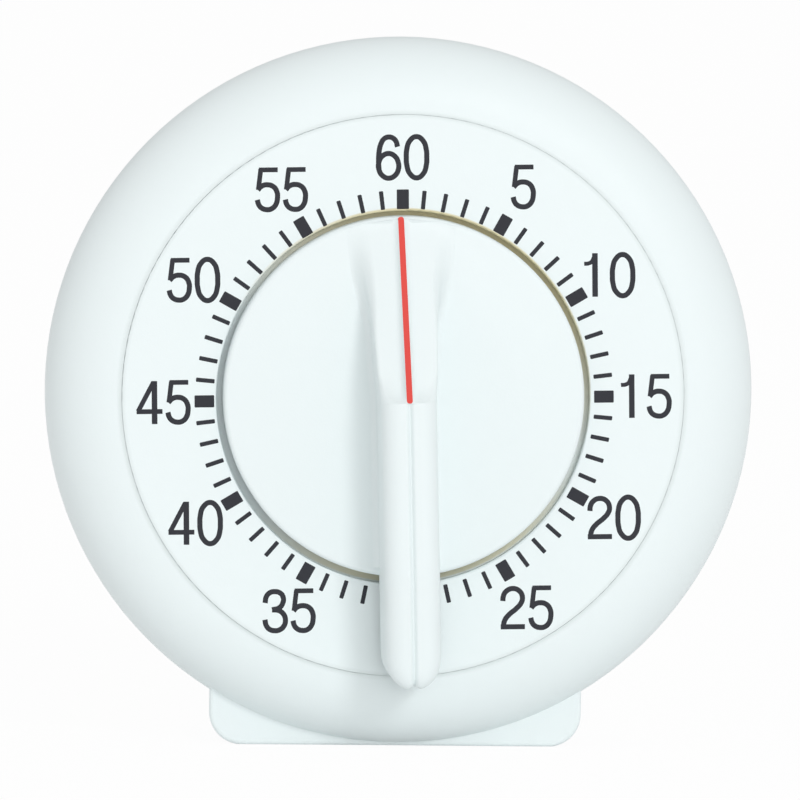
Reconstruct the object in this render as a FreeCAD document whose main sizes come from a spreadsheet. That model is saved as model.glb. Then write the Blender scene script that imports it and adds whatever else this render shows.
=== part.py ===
import FreeCAD, Part
import math
import os

import Sketcher

Vector = FreeCAD.Vector

doc = FreeCAD.newDocument("WindUpTimer")
sheet = doc.addObject("Spreadsheet::Sheet", "Sizes")

# Driving dimensions, millimetres and degrees
SIZES = {
    # case
    "case_radius": 54.0,
    "axis_height": 54.2,
    "case_depth": 38.5,
    "parting_depth": 13.0,
    "bezel_roll": 10.3,
    "bezel_setback": 0.3,
    "wall": 2.2,
    "web_thickness": 2.0,
    "web_hole_radius": 5.8,
    "rear_radius": 53.2,
    "rear_back_radius": 51.5,
    "rear_roll": 6.0,
    "lip_length": 1.5,
    "lip_play": 0.15,
    # foot
    "foot_width": 57.0,
    "foot_front": 8.0,
    "foot_length": 28.0,
    "foot_corner": 5.0,
    "foot_wall": 2.2,
    "foot_block": 13.0,
    "foot_draft": 1.9,
    "foot_edge": 0.6,
    "foot_trim": 0.05,
    # dial
    "dial_radius": 42.9,
    "dial_thickness": 2.0,
    "dial_play": 0.03,
    "dial_edge": 0.25,
    "seam_round": 0.12,
    "step_height": 0.22,
    "step_width": 0.75,
    "well_gap": 1.0,
    "well_drop": 0.3,
    # knob
    "disc_radius": 27.5,
    "disc_rise": 2.6,
    "disc_play": 0.7,
    "disc_edge": 0.7,
    "disc_wall": 2.0,
    "knob_reach": 16.0,
    "knob_rest_turn": 1.8,
    "grip_width": 8.5,
    "grip_tip": 43.9,
    "grip_tip_round": 3.9,
    "grip_gap": 2.2,
    "grip_top_round": 1.5,
    "pointer_round": 0.8,
    "grip_groove_width": 0.5,
    "grip_groove_depth": 0.9,
    "grip_end_drop": 1.5,
    "grip_end_start": 26.4,
    "cut_margin": 2.0,
    "pointer_width": 11.8,
    "pointer_end_height": 3.0,
    "pointer_flare": 15.0,
    "pointer_margin": 0.6,
    "rib_width": 1.9,
    "rib_height": 0.5,
    "inlay_width": 0.9,
    "inlay_depth": 0.3,
    "hub_radius": 5.0,
    "hub_clearance": 0.5,
    "knob_socket": 12.0,
    "d_flat": 0.55,
    "d_play": 0.03,
    "main_arbor_reach": 9.0,
    # movement levels, measured back from the dial face
    "cam_level": 4.9,
    "cam_thickness": 1.0,
    "front_plate_level": 7.0,
    "plate_thickness": 1.2,
    "plate_space": 11.8,
    "wheel_thickness": 1.0,
    "main_wheel_gap": 0.6,
    "ratchet_gap": 0.1,
    "second_wheel_gap": 3.4,
    "spring_gap": 4.75,
    "spring_width": 5.0,
    "third_wheel_gap": 10.2,
    "escape_wheel_gap": 5.2,
    "star_gap": 6.9,
    "balance_gap": 7.4,
    "plate_radius": 36.5,
    # train
    "main_teeth": 72,
    "second_pinion_teeth": 10,
    "second_teeth": 70,
    "third_pinion_teeth": 10,
    "third_teeth": 60,
    "escape_pinion_teeth": 8,
    "escape_teeth": 15,
    "main_module": 0.5,
    "second_module": 0.4,
    "third_module": 0.35,
    "tooth_shift": 0.5,
    "tooth_thinning": 0.1,
    "tooth_dedendum": 1.25,
    "wheel_addendum": 1.0,
    "pinion_addendum": 0.75,
    "pressure_angle": 20.0,
    "spokes": 5,
    "rim_share": 0.8,
    "hub_share": 0.32,
    "spoke_half_angle": 7.5,
    "spoke_taper": 7.0,
    "point_root_share": 0.32,
    "point_tip_share": 0.04,
    "second_angle": 200.0,
    "third_angle": 88.0,
    "escape_angle": 60.0,
    "pallet_angle": 10.0,
    "pallet_distance": 9.0,
    "pivot_play": 0.04,
    "shoulder_play": 0.2,
    "pinion_overlap": 0.2,
    "main_arbor_radius": 3.0,
    "main_journal_radius": 2.0,
    "main_pivot_radius": 1.5,
    "spring_core_radius": 3.8,
    "second_arbor_radius": 1.2,
    "third_arbor_radius": 1.0,
    "escape_arbor_radius": 0.8,
    "pallet_arbor_radius": 0.8,
    "hammer_arbor_radius": 0.9,
    "pivot_radius": 0.5,
    # mainspring
    "strip_thickness": 0.35,
    "strip_pitch": 1.0,
    "strip_coils": 9,
    "strip_play": 0.1,
    # ratchet and click
    "ratchet_teeth": 24,
    "ratchet_radius": 7.5,
    "ratchet_tooth_depth": 0.9,
    "click_distance": 12.2,
    "click_angle": 216.0,
    "click_width": 2.0,
    "click_beak": 1.2,
    "click_lag": 28.0,
    "click_spring_lag": 50.0,
    "click_clearance": 0.05,
    "click_rivet_radius": 0.9,
    "click_rivet_head": 0.4,
    "click_rivet_head_radius": 1.6,
    "leaf_thickness": 0.25,
    "leaf_clearance": 0.2,
    "leaf_tab_radius": 0.8,
    "click_spring_orbit": 15.8,
    # escapement
    "escape_radius": 6.5,
    "escape_tooth_depth": 1.9,
    "escape_hole_radius": 0.9,
    "escape_hole_orbit": 2.8,
    "escape_holes": 4,
    "anchor_hub_radius": 1.8,
    "anchor_arm_width": 1.3,
    "anchor_arm_reach": 1.5,
    "pallet_pin_radius": 0.35,
    "pallet_pin_clearance": 0.12,
    "pallet_span": 36.0,
    "balance_length": 14.0,
    "balance_width": 3.0,
    "balance_thickness": 1.4,
    "balance_offset": 0.37,
    # release
    "cam_radius": 9.0,
    "notch_depth": 1.8,
    "notch_width": 2.8,
    "release_x": -13.0,
    "release_z": 12.5,
    "nose_width": 1.4,
    "nose_clearance": 0.12,
    "release_hold_reach": 6.0,
    "release_hold_clearance": 0.75,
    "release_width": 2.2,
    "release_hub_radius": 2.4,
    "release_stud_radius": 1.1,
    "release_stud_head": 0.6,
    "release_stud_head_radius": 1.8,
    "release_spring_foot_x": 9.0,
    "release_spring_foot_z": 3.5,
    "release_spring_bend_x": 4.0,
    "release_spring_bend_z": 2.2,
    "release_spring_end_x": -3.0,
    "release_spring_end_z": 0.6,
    "stud_play": 0.1,
    "release_pin_radius": 0.7,
    "release_window": 2.2,
    # strike
    "star_teeth": 12,
    "star_radius": 4.2,
    "star_tooth_depth": 1.4,
    "star_clearance": 0.15,
    "hammer_distance": 12.6,
    "hammer_angle": 150.0,
    "hammer_tail_width": 1.6,
    "hammer_orbit": 20.0,
    "hammer_head_radius": 2.2,
    "hammer_head_length": 5.4,
    "hammer_arm_gap": 0.7,
    "hammer_arm_width": 2.6,
    "hammer_hub_radius": 2.0,
    "hammer_spring_reach": 4.2,
    "hammer_spring_foot_x": -1.5,
    "hammer_spring_foot_z": -9.5,
    "hammer_spring_bend_x": 1.2,
    "hammer_spring_bend_z": 4.5,
    # bell
    "bell_radius": 26.0,
    "bell_rim_gap": 2.8,
    "bell_wall": 1.0,
    "bell_roll": 6.0,
    "bell_boss_radius": 4.2,
    "bell_boss_length": 2.0,
    # pillars and fasteners
    "pillar_radius": 1.9,
    "pillar_stub_radius": 1.1,
    "pillar_stub_play": 0.02,
    "pillar_a_z": 22.0,
    "pillar_b_x": 24.0,
    "pillar_b_z": -20.0,
    "pillar_c_x": -10.0,
    "pillar_c_z": -31.0,
    "pillar_d_x": -13.0,
    "pillar_d_z": 31.0,
    "nut_width": 4.4,
    "nut_height": 1.6,
    "screw_radius": 1.4,
    "screw_head_radius": 2.7,
    "screw_head_height": 1.6,
    "screw_head_play": 0.3,
    "stub_proud": 0.4,
    "washer_radius": 4.0,
    "washer_thickness": 0.6,
    "screw_play": 0.02,
    "screw_slot": 0.6,
    "screw_head_round": 0.7,
    "boss_radius": 3.3,
    "case_screw_orbit": 41.5,
    "case_screw_seat": 18.0,
    "case_screw_length": 11.0,
    "rear_boss_radius": 4.2,
    "movement_screw_orbit": 33.0,
    "movement_screw_length": 3.4,
    # sound slots
    "slot_width": 28.0,
    "slot_height": 2.4,
    "slot_pitch": 6.0,
    "slot_first": 10.0,
    "slot_rows": 3,
}

for row, (alias, number) in enumerate(SIZES.items(), start=1):
    sheet.set(f"A{row}", alias)
    sheet.set(f"B{row}", repr(number))
    sheet.setAlias(f"B{row}", alias)
doc.recompute()


class Size:
    """A value with the sheet expression that drives it."""

    def __init__(self, number, text):
        self.number = number
        self.text = text

    def __add__(self, other):
        return Size(self.number + value(other), f"({self.text} + {text(other)})")

    def __sub__(self, other):
        return Size(self.number - value(other), f"({self.text} - {text(other)})")

    def __mul__(self, other):
        return Size(self.number * value(other), f"({self.text} * {text(other)})")

    def __truediv__(self, other):
        return Size(self.number / value(other), f"({self.text} / {text(other)})")

    def __radd__(self, other):
        return Size(other + self.number, f"({text(other)} + {self.text})")

    def __rsub__(self, other):
        return Size(other - self.number, f"({text(other)} - {self.text})")

    def __rmul__(self, other):
        return Size(other * self.number, f"({text(other)} * {self.text})")

    def __neg__(self):
        return Size(-self.number, f"(-1 * {self.text})")


def value(size):
    return size.number if isinstance(size, Size) else float(size)


def text(size):
    return size.text if isinstance(size, Size) else repr(float(size))


def cosine(angle):
    return Size(math.cos(math.radians(value(angle))), f"cos({text(angle)})")


def sine(angle):
    return Size(math.sin(math.radians(value(angle))), f"sin({text(angle)})")


def root(size):
    return Size(math.sqrt(value(size)), f"sqrt({text(size)})")


class Sheet:
    """Reads a size by its alias."""

    def __getattr__(self, alias):
        return Size(float(getattr(sheet, alias)), f"Sizes.{alias}")


S = Sheet()


# The row frame: origin on the resting plane under the middle of the box, front towards -Y
DIAL_Y = (S.knob_reach - S.case_depth) / 2
AXIS_Z = S.axis_height


def polar(distance, angle, start=(0, 0)):
    return (start[0] + distance * cosine(angle), start[1] + distance * sine(angle))


def bind(thing, name, size):
    if isinstance(size, Size):
        thing.setExpression(name, size.text)
    else:
        setattr(thing, name, size)


def stand(thing, x=0, depth=0, z=0, turn=None):
    """Puts a piece at x and z from the dial's axis, at a depth behind the dial face."""
    thing.setExpression("Placement.Base.x", text(x))
    thing.setExpression("Placement.Base.y", text(DIAL_Y + depth))
    thing.setExpression("Placement.Base.z", text(AXIS_Z + z))
    if turn is not None:
        thing.Placement.Rotation = FreeCAD.Rotation(Vector(0, -1, 0), 1)
        thing.setExpression("Placement.Rotation.Angle", text(turn))


def new_body(label, x=0, depth=0, z=0, turn=None):
    body = doc.addObject("PartDesign::Body", label)
    body.Label = label
    stand(body, x, depth, z, turn)
    return body


def new_sketch(body, role, name, offset=None):
    plane = [f for f in body.Origin.OriginFeatures if f.Role == role][0]
    sketch = body.newObject("Sketcher::SketchObject", name)
    sketch.AttachmentSupport = (plane, [""])
    sketch.MapMode = "FlatFace"
    if offset is not None:
        sketch.setExpression("AttachmentOffset.Base.z", text(offset))
    return sketch


def hold_point(sketch, shape, end, u, v):
    """Dimensions one point of a sketch from the origin."""
    for kind, size in (("DistanceX", u), ("DistanceY", v)):
        number = sketch.addConstraint(Sketcher.Constraint(kind, -1, 1, shape, end, value(size)))
        if isinstance(size, Size):
            sketch.setExpression(f"Constraints[{number}]", size.text)


def arc_between(start, end, radius, turn):
    """Centre and end angles of the arc from start to end; turn is 1 for left, -1 for right."""
    middle = (start + end) * 0.5
    chord = end - start
    rise = math.sqrt(max(radius ** 2 - (chord.Length / 2) ** 2, 0))
    normal = Vector(-chord.y, chord.x, 0).normalize()
    centre = middle + normal * rise * turn
    first, last = (start, end) if turn > 0 else (end, start)
    angles = [math.atan2(p.y - centre.y, p.x - centre.x) for p in (first, last)]
    if angles[1] < angles[0]:
        angles[1] += 2 * math.pi
    return centre, angles


def outline(sketch, steps):
    """A closed outline of points (u, v), or (u, v, radius, turn) for an arc that leads to the point."""
    points = [Vector(value(s[0]), value(s[1]), 0) for s in steps]
    ends = []
    for i, step in enumerate(steps):
        start, end = points[i - 1], points[i]
        if len(step) == 2:
            number = sketch.addGeometry(Part.LineSegment(start, end), False)
            ends.append((number, 1, 2))
            continue
        radius, turn = step[2], step[3]
        centre, angles = arc_between(start, end, value(radius), turn)
        circle_shape = Part.Circle(centre, Vector(0, 0, 1), value(radius))
        number = sketch.addGeometry(Part.ArcOfCircle(circle_shape, *angles), False)
        ends.append((number, 1, 2) if turn > 0 else (number, 2, 1))
    for i, (number, first, last) in enumerate(ends):
        following = ends[(i + 1) % len(ends)]
        sketch.addConstraint(Sketcher.Constraint("Coincident", number, last, following[0], following[1]))
        hold_point(sketch, number, last, steps[i][0], steps[i][1])
        if len(steps[i]) == 4:
            radius = steps[i][2]
            index = sketch.addConstraint(Sketcher.Constraint("Radius", number, value(radius)))
            if isinstance(radius, Size):
                sketch.setExpression(f"Constraints[{index}]", radius.text)


def circle(sketch, u, v, radius):
    centre = Vector(value(u), value(v), 0)
    number = sketch.addGeometry(Part.Circle(centre, Vector(0, 0, 1), value(radius)), False)
    hold_point(sketch, number, 3, u, v)
    index = sketch.addConstraint(Sketcher.Constraint("Radius", number, value(radius)))
    if isinstance(radius, Size):
        sketch.setExpression(f"Constraints[{index}]", radius.text)


def pad(body, sketch, length, back=True):
    """A pad of a front view sketch, towards the back unless told otherwise."""
    feature = body.newObject("PartDesign::Pad", "Pad")
    feature.Profile = sketch
    bind(feature, "Length", length)
    feature.Reversed = back
    body.Tip = feature
    return feature


def cut(body, sketch, length=None, reverse=False, both=False):
    feature = body.newObject("PartDesign::Pocket", "Pocket")
    feature.Profile = sketch
    if length is None:
        feature.Type = 1
    else:
        bind(feature, "Length", length)
    feature.Reversed = reverse
    feature.Midplane = both
    body.Tip = feature
    return feature


def turned(body, steps, groove=False):
    """Turns a profile of (depth, radius) steps round the body's Y axis."""
    sketch = new_sketch(body, "YZ_Plane", "Profile")
    outline(sketch, steps)
    feature = body.newObject("PartDesign::Groove" if groove else "PartDesign::Revolution", "Turned")
    feature.Profile = sketch
    feature.ReferenceAxis = (sketch, ["H_Axis"])
    feature.Angle = 360
    body.Tip = feature
    return feature


def turned_piece(label, steps, x=0, depth=0, z=0):
    body = new_body(label, x, depth, z)
    turned(body, steps)
    return body


def shaft_steps(*stages):
    """Profile of a solid shaft from (start, end, radius) stages that follow each other."""
    steps = [(stages[0][0], 0)]
    for start, end, radius in stages:
        steps.append((start, radius))
        steps.append((end, radius))
    steps.append((stages[-1][1], 0))
    return steps


def round_edges(body, radius, wanted):
    """Fillets the edges of a body's last shape that the test picks."""
    doc.recompute()
    base = body.Tip
    names = [f"Edge{i}" for i, edge in enumerate(base.Shape.Edges, start=1) if wanted(edge)]
    feature = body.newObject("PartDesign::Fillet", "Fillet")
    feature.Base = (base, names)
    bind(feature, "Radius", radius)
    body.Tip = feature
    return feature


def solid_feature(label, shape, x=0, depth=0, z=0, turn=0):
    """A piece whose shape comes straight from solid functions, turned left as seen from the front."""
    feature = doc.addObject("Part::Feature", label)
    feature.Label = label
    feature.Shape = shape
    place = Vector(value(x), value(DIAL_Y + depth), value(AXIS_Z + z))
    feature.Placement = FreeCAD.Placement(place, FreeCAD.Rotation(Vector(0, -1, 0), value(turn)))
    return feature


def plate_of(wire, thickness):
    """A flat wire in the front view, given thickness towards the back."""
    return Part.Face(wire).extrude(Vector(0, value(thickness), 0))


def rod(radius, start, end, x=0, z=0):
    place = Vector(value(x), value(start), value(z))
    return Part.makeCylinder(value(radius), value(end) - value(start), place, Vector(0, 1, 0))


def front_point(radius, angle):
    """A point of the front view, the angle in radians, left from the right-hand side."""
    return Vector(radius * math.cos(angle), 0, radius * math.sin(angle))


def involute(angle):
    return math.tan(angle) - angle


def gear_wire(teeth, module, shift, addendum, dedendum):
    """Outline of an involute gear with one tooth centred on the right-hand side."""
    teeth, module = int(value(teeth)), value(module)
    pressure = math.radians(value(S.pressure_angle))
    pitch_radius = teeth * module / 2
    base_radius = pitch_radius * math.cos(pressure)
    tip_radius = pitch_radius + addendum * module
    root_radius = pitch_radius - dedendum * module
    thinning = value(S.tooth_thinning) / 2
    half = (math.pi / 4 + shift * math.tan(pressure) - thinning) * 2 / teeth + involute(pressure)

    def flank(radius):
        reach = max(radius, base_radius)
        return half - involute(math.acos(base_radius / reach))

    start_radius = max(base_radius, root_radius)
    radii = [start_radius, (start_radius + tip_radius) / 2, tip_radius]
    edges = []
    previous = None
    for tooth in range(teeth):
        centre = 2 * math.pi * tooth / teeth
        rising = [front_point(r, centre - flank(r)) for r in radii]
        falling = [front_point(r, centre + flank(r)) for r in reversed(radii)]
        foot_in = front_point(root_radius, centre - flank(start_radius))
        foot_out = front_point(root_radius, centre + flank(start_radius))
        if previous is None:
            first = foot_in
        else:
            edges.append(Part.LineSegment(previous, foot_in).toShape())
        if start_radius > root_radius:
            edges.append(Part.LineSegment(foot_in, rising[0]).toShape())
        edges.append(Part.Arc(*rising).toShape())
        edges.append(Part.LineSegment(rising[2], falling[0]).toShape())
        edges.append(Part.Arc(*falling).toShape())
        if start_radius > root_radius:
            edges.append(Part.LineSegment(falling[2], foot_out).toShape())
        previous = foot_out
    edges.append(Part.LineSegment(previous, first).toShape())
    return Part.Wire(edges)


def wheel_shape(teeth, module, bore):
    """A wheel with windows between its spokes."""
    shift = value(S.tooth_shift)
    wire = gear_wire(teeth, module, -shift, value(S.wheel_addendum) - shift,
                     value(S.tooth_dedendum) + shift)
    blank = plate_of(wire, S.wheel_thickness)
    pitch_radius = value(teeth * module) / 2
    inner, outer = pitch_radius * value(S.hub_share), pitch_radius * value(S.rim_share)
    spokes = int(value(S.spokes))
    half = math.pi / spokes - math.radians(value(S.spoke_half_angle))
    taper = math.radians(value(S.spoke_taper))
    windows = []
    for i in range(spokes):
        middle = 2 * math.pi * (i + 0.5) / spokes
        low, high = middle - half, middle + half
        wire = Part.Wire([
            Part.Arc(*[front_point(outer, a) for a in (low, middle, high)]).toShape(),
            Part.LineSegment(front_point(outer, high), front_point(inner, high - taper)).toShape(),
            Part.Arc(*[front_point(inner, a) for a in (high - taper, middle, low + taper)]).toShape(),
            Part.LineSegment(front_point(inner, low + taper), front_point(outer, low)).toShape(),
        ])
        windows.append(plate_of(wire, S.wheel_thickness))
    return blank.cut(windows + [rod(bore, 0, S.wheel_thickness)])


def bar(start, end, width, thickness):
    """A flat bar with round ends between two points of the front view."""
    first, last = Vector(start[0], 0, start[1]), Vector(end[0], 0, end[1])
    along = (last - first).normalize()
    side = Vector(-along.z, 0, along.x) * (width / 2)
    tip = along * (width / 2)
    wire = Part.Wire([
        Part.LineSegment(first + side, last + side).toShape(),
        Part.Arc(last + side, last + tip, last - side).toShape(),
        Part.LineSegment(last - side, first - side).toShape(),
        Part.Arc(first - side, first - tip, first + side).toShape(),
    ])
    return plate_of(wire, thickness)


def strip(points, thickness, width):
    """A thin flat spring that follows points of the front view."""
    spine = [Vector(x, 0, z) for x, z in points]
    sides = []
    for i, point in enumerate(spine):
        before = (point - spine[i - 1]).normalize() if i else None
        after = (spine[i + 1] - point).normalize() if i + 1 < len(spine) else None
        along = before + after if before and after else before or after
        along.normalize()
        lean = along.dot(before or after)
        sides.append(Vector(-along.z, 0, along.x) * (thickness / 2 / lean))
    ring = [p + s for p, s in zip(spine, sides)] + [p - s for p, s in zip(reversed(spine), reversed(sides))]
    return plate_of(Part.makePolygon(ring + [ring[0]]), width)


def pair(point):
    return value(point[0]), value(point[1])


def tangent_point(start, radius, side):
    """Where a line from the start touches the circle of a radius round the dial's axis."""
    square = start[0] * start[0] + start[1] * start[1]
    near = radius * radius / square
    across = side * radius * root(square - radius * radius) / square
    return (near * start[0] - across * start[1], near * start[1] + across * start[0])


# Levels behind the dial face
WEB_BACK = S.dial_thickness + S.web_thickness
PLATE_BACK = S.front_plate_level + S.plate_thickness
REAR_PLATE = PLATE_BACK + S.plate_space
REAR_PLATE_BACK = REAR_PLATE + S.plate_thickness
CASE_INSIDE = S.case_depth - S.wall
MAIN_WHEEL = PLATE_BACK + S.main_wheel_gap
RATCHET = MAIN_WHEEL + S.wheel_thickness + S.ratchet_gap
SECOND_WHEEL = PLATE_BACK + S.second_wheel_gap
SPRING = PLATE_BACK + S.spring_gap
THIRD_WHEEL = PLATE_BACK + S.third_wheel_gap
ESCAPE_WHEEL = PLATE_BACK + S.escape_wheel_gap
STAR = PLATE_BACK + S.star_gap
BALANCE = PLATE_BACK + S.balance_gap
HAMMER_ARM = REAR_PLATE_BACK + S.hammer_arm_gap
BELL_RIM = REAR_PLATE_BACK + S.bell_rim_gap
BELL_CROWN = CASE_INSIDE - S.bell_boss_length
BELL_SCREW_DEPTH = S.bell_boss_length + S.wall / 2

# Places of the arbors, from the dial's axis
MAIN = (0, 0)
SECOND = polar((S.main_teeth + S.second_pinion_teeth) * S.main_module / 2, S.second_angle)
THIRD = polar((S.second_teeth + S.third_pinion_teeth) * S.second_module / 2, S.third_angle, SECOND)
ESCAPE = polar((S.third_teeth + S.escape_pinion_teeth) * S.third_module / 2, S.escape_angle, THIRD)
PALLET = polar(S.pallet_distance, S.pallet_angle, ESCAPE)
HAMMER = polar(S.hammer_distance, S.hammer_angle, THIRD)
RELEASE = (S.release_x, S.release_z)
HELD_TAIL = polar(S.release_hold_reach, S.hammer_angle + 180, HAMMER)
HOLD_RISE = S.hammer_tail_width / 2 + S.release_pin_radius + S.release_hold_clearance
RELEASE_PIN = polar(HOLD_RISE, S.hammer_angle - 90, HELD_TAIL)
NOSE = tangent_point(RELEASE, S.cam_radius + S.nose_width / 2 + S.nose_clearance, -1)
HAMMER_HEAD = tangent_point(HAMMER, S.hammer_orbit, -1)

# Middle line of the wound spring's first coil and of its tail, and the pillar that the tail is hooked on
SPRING_START = S.spring_core_radius + S.strip_play + S.strip_thickness / 2
SPRING_TAIL = SPRING_START + S.strip_coils * S.strip_pitch
PILLAR_A_X = SPRING_TAIL + S.strip_thickness / 2 + S.strip_play + S.pillar_radius
PILLARS = [
    (PILLAR_A_X, S.pillar_a_z),
    (S.pillar_b_x, S.pillar_b_z),
    (S.pillar_c_x, S.pillar_c_z),
    (S.pillar_d_x, S.pillar_d_z),
]
CASE_SCREWS = [polar(S.case_screw_orbit, angle) for angle in (45, 135, 225, 315)]
MOVEMENT_SCREWS = [polar(S.movement_screw_orbit, angle) for angle in (0, 90, 236)]


def foot_half(depth):
    """Half width of the foot, which narrows on each side from its front to its back."""
    return S.foot_width / 2 - S.foot_draft * (depth - S.foot_front) / S.foot_length


def foot_outline(body, depth, inset=0):
    """The foot seen from the front at one depth, drawn in at its sides and below by the inset."""
    half = foot_half(depth) - inset
    floor = inset - S.axis_height - S.foot_trim
    top = S.foot_block - S.axis_height
    corner = S.foot_corner - inset
    sketch = new_sketch(body, "XZ_Plane", "FootOutline", -depth)
    outline(sketch, [
        (half - corner, floor),
        (half, floor + corner, corner, 1),
        (half, top),
        (-half, top),
        (-half, floor + corner),
        (corner - half, floor, corner, 1),
    ])
    return sketch


def foot_block(body, face, inward, hollow_start, hollow_end):
    """The foot from its rounded outer face to the parting plane, cut flat and open below."""
    sections = []
    for angle in (0, 30, 60, 90):
        back = inward * (1 - math.cos(math.radians(angle)))
        inset = 1 - math.sin(math.radians(angle))
        sections.append(foot_outline(body, face + S.foot_edge * back, S.foot_edge * inset))
    sections.append(foot_outline(body, S.parting_depth))
    feature = body.newObject("PartDesign::AdditiveLoft", "Foot")
    feature.Profile = sections[0]
    feature.Sections = sections[1:]
    feature.Ruled = True
    body.Tip = feature
    ground = new_sketch(body, "XY_Plane", "FootGround", -S.axis_height)
    side = S.foot_width / 2 + S.foot_trim
    near = S.foot_front - S.foot_trim
    far = S.foot_front + S.foot_length + S.foot_trim
    outline(ground, [(-side, near), (side, near), (side, far), (-side, far)])
    cut(body, ground, S.foot_trim * 2)
    hollow = new_sketch(body, "XY_Plane", "FootHollow", -S.axis_height)
    inset = S.foot_corner / 2 + S.foot_wall
    outline(hollow, [
        (inset - foot_half(hollow_start), hollow_start),
        (foot_half(hollow_start) - inset, hollow_start),
        (foot_half(hollow_end) - inset, hollow_end),
        (inset - foot_half(hollow_end), hollow_end),
    ])
    cut(body, hollow, reverse=True)


def front_case():
    """Rolled bezel with a low step round the dial, the web behind it, screw bosses and the foot's front."""
    body = new_body("front_case")
    foot_block(body, S.foot_front, 1, S.foot_front + S.foot_wall, S.parting_depth)
    seat = S.dial_radius + S.dial_play
    roll_end = S.bezel_setback + S.bezel_roll
    roll_inner = S.bezel_roll - S.wall
    inner_radius = S.case_radius - S.wall
    centre = S.case_radius - S.bezel_roll
    web_outer = centre + root(roll_inner * roll_inner - (roll_end - WEB_BACK) * (roll_end - WEB_BACK))
    shoulder = seat + S.step_width
    crown = roll_end - root(S.bezel_roll * S.bezel_roll - (shoulder - centre) * (shoulder - centre))
    step_fillet = (S.step_width * S.step_width / S.step_height + S.step_height) / 2
    turned(body, [
        (S.dial_thickness, S.web_hole_radius),
        (S.dial_thickness, seat),
        (crown - S.step_height, seat),
        (crown, shoulder, step_fillet, 1),
        (roll_end, S.case_radius, S.bezel_roll, -1),
        (S.parting_depth, S.case_radius),
        (S.parting_depth, inner_radius),
        (roll_end, inner_radius),
        (WEB_BACK, web_outer, roll_inner, 1),
        (WEB_BACK, S.web_hole_radius),
    ])
    turned(body, [
        (WEB_BACK, 0),
        (WEB_BACK, web_outer),
        (roll_end, inner_radius, roll_inner, -1),
        (S.parting_depth, inner_radius),
        (S.parting_depth, 0),
    ], groove=True)
    bosses = new_sketch(body, "XZ_Plane", "CaseBosses", -(WEB_BACK - S.web_thickness / 2))
    for x, z in CASE_SCREWS:
        circle(bosses, x, z, S.boss_radius)
    pad(body, bosses, S.parting_depth - WEB_BACK + S.web_thickness / 2)
    spacers = new_sketch(body, "XZ_Plane", "MovementBosses", -(WEB_BACK - S.web_thickness / 2))
    for x, z in MOVEMENT_SCREWS:
        circle(spacers, x, z, S.screw_head_radius)
    pad(body, spacers, S.front_plate_level - WEB_BACK + S.web_thickness / 2)
    holes = new_sketch(body, "XZ_Plane", "CaseScrewHoles", -(S.parting_depth))
    for x, z in CASE_SCREWS:
        circle(holes, x, z, S.screw_radius + S.screw_play)
    cut(body, holes, S.parting_depth - WEB_BACK - S.web_thickness / 2, reverse=True)
    taps = new_sketch(body, "XZ_Plane", "MovementScrewHoles", -(S.front_plate_level))
    for x, z in MOVEMENT_SCREWS:
        circle(taps, x, z, S.screw_radius + S.screw_play)
    cut(body, taps, S.movement_screw_length - S.plate_thickness + S.screw_play, reverse=True)
    return body


def dial_plate():
    """Flat disc in the bezel; the knob's well in it sits a little low, as the print on it does."""
    body = new_body("dial_plate")
    turned(body, [
        (S.dial_thickness, 0),
        (0, 0),
        (0, S.dial_radius - S.seam_round),
        (S.seam_round, S.dial_radius, S.seam_round, -1),
        (S.dial_thickness, S.dial_radius),
    ])
    well = new_sketch(body, "XZ_Plane", "Well")
    circle(well, 0, -S.well_drop, S.disc_radius + S.well_gap)
    cut(body, well, both=True)
    round_edges(body, S.dial_edge, well_edge)
    return body


def well_edge(edge):
    """Whether an edge is the well's rim on the dial's face."""
    low, high = edge.BoundBox.ZMin, edge.BoundBox.ZMax
    inner = high - low < 2 * value(S.dial_radius - S.seam_round) - value(S.seam_round)
    return inner and edge.BoundBox.YMax < value(S.dial_edge)


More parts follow.
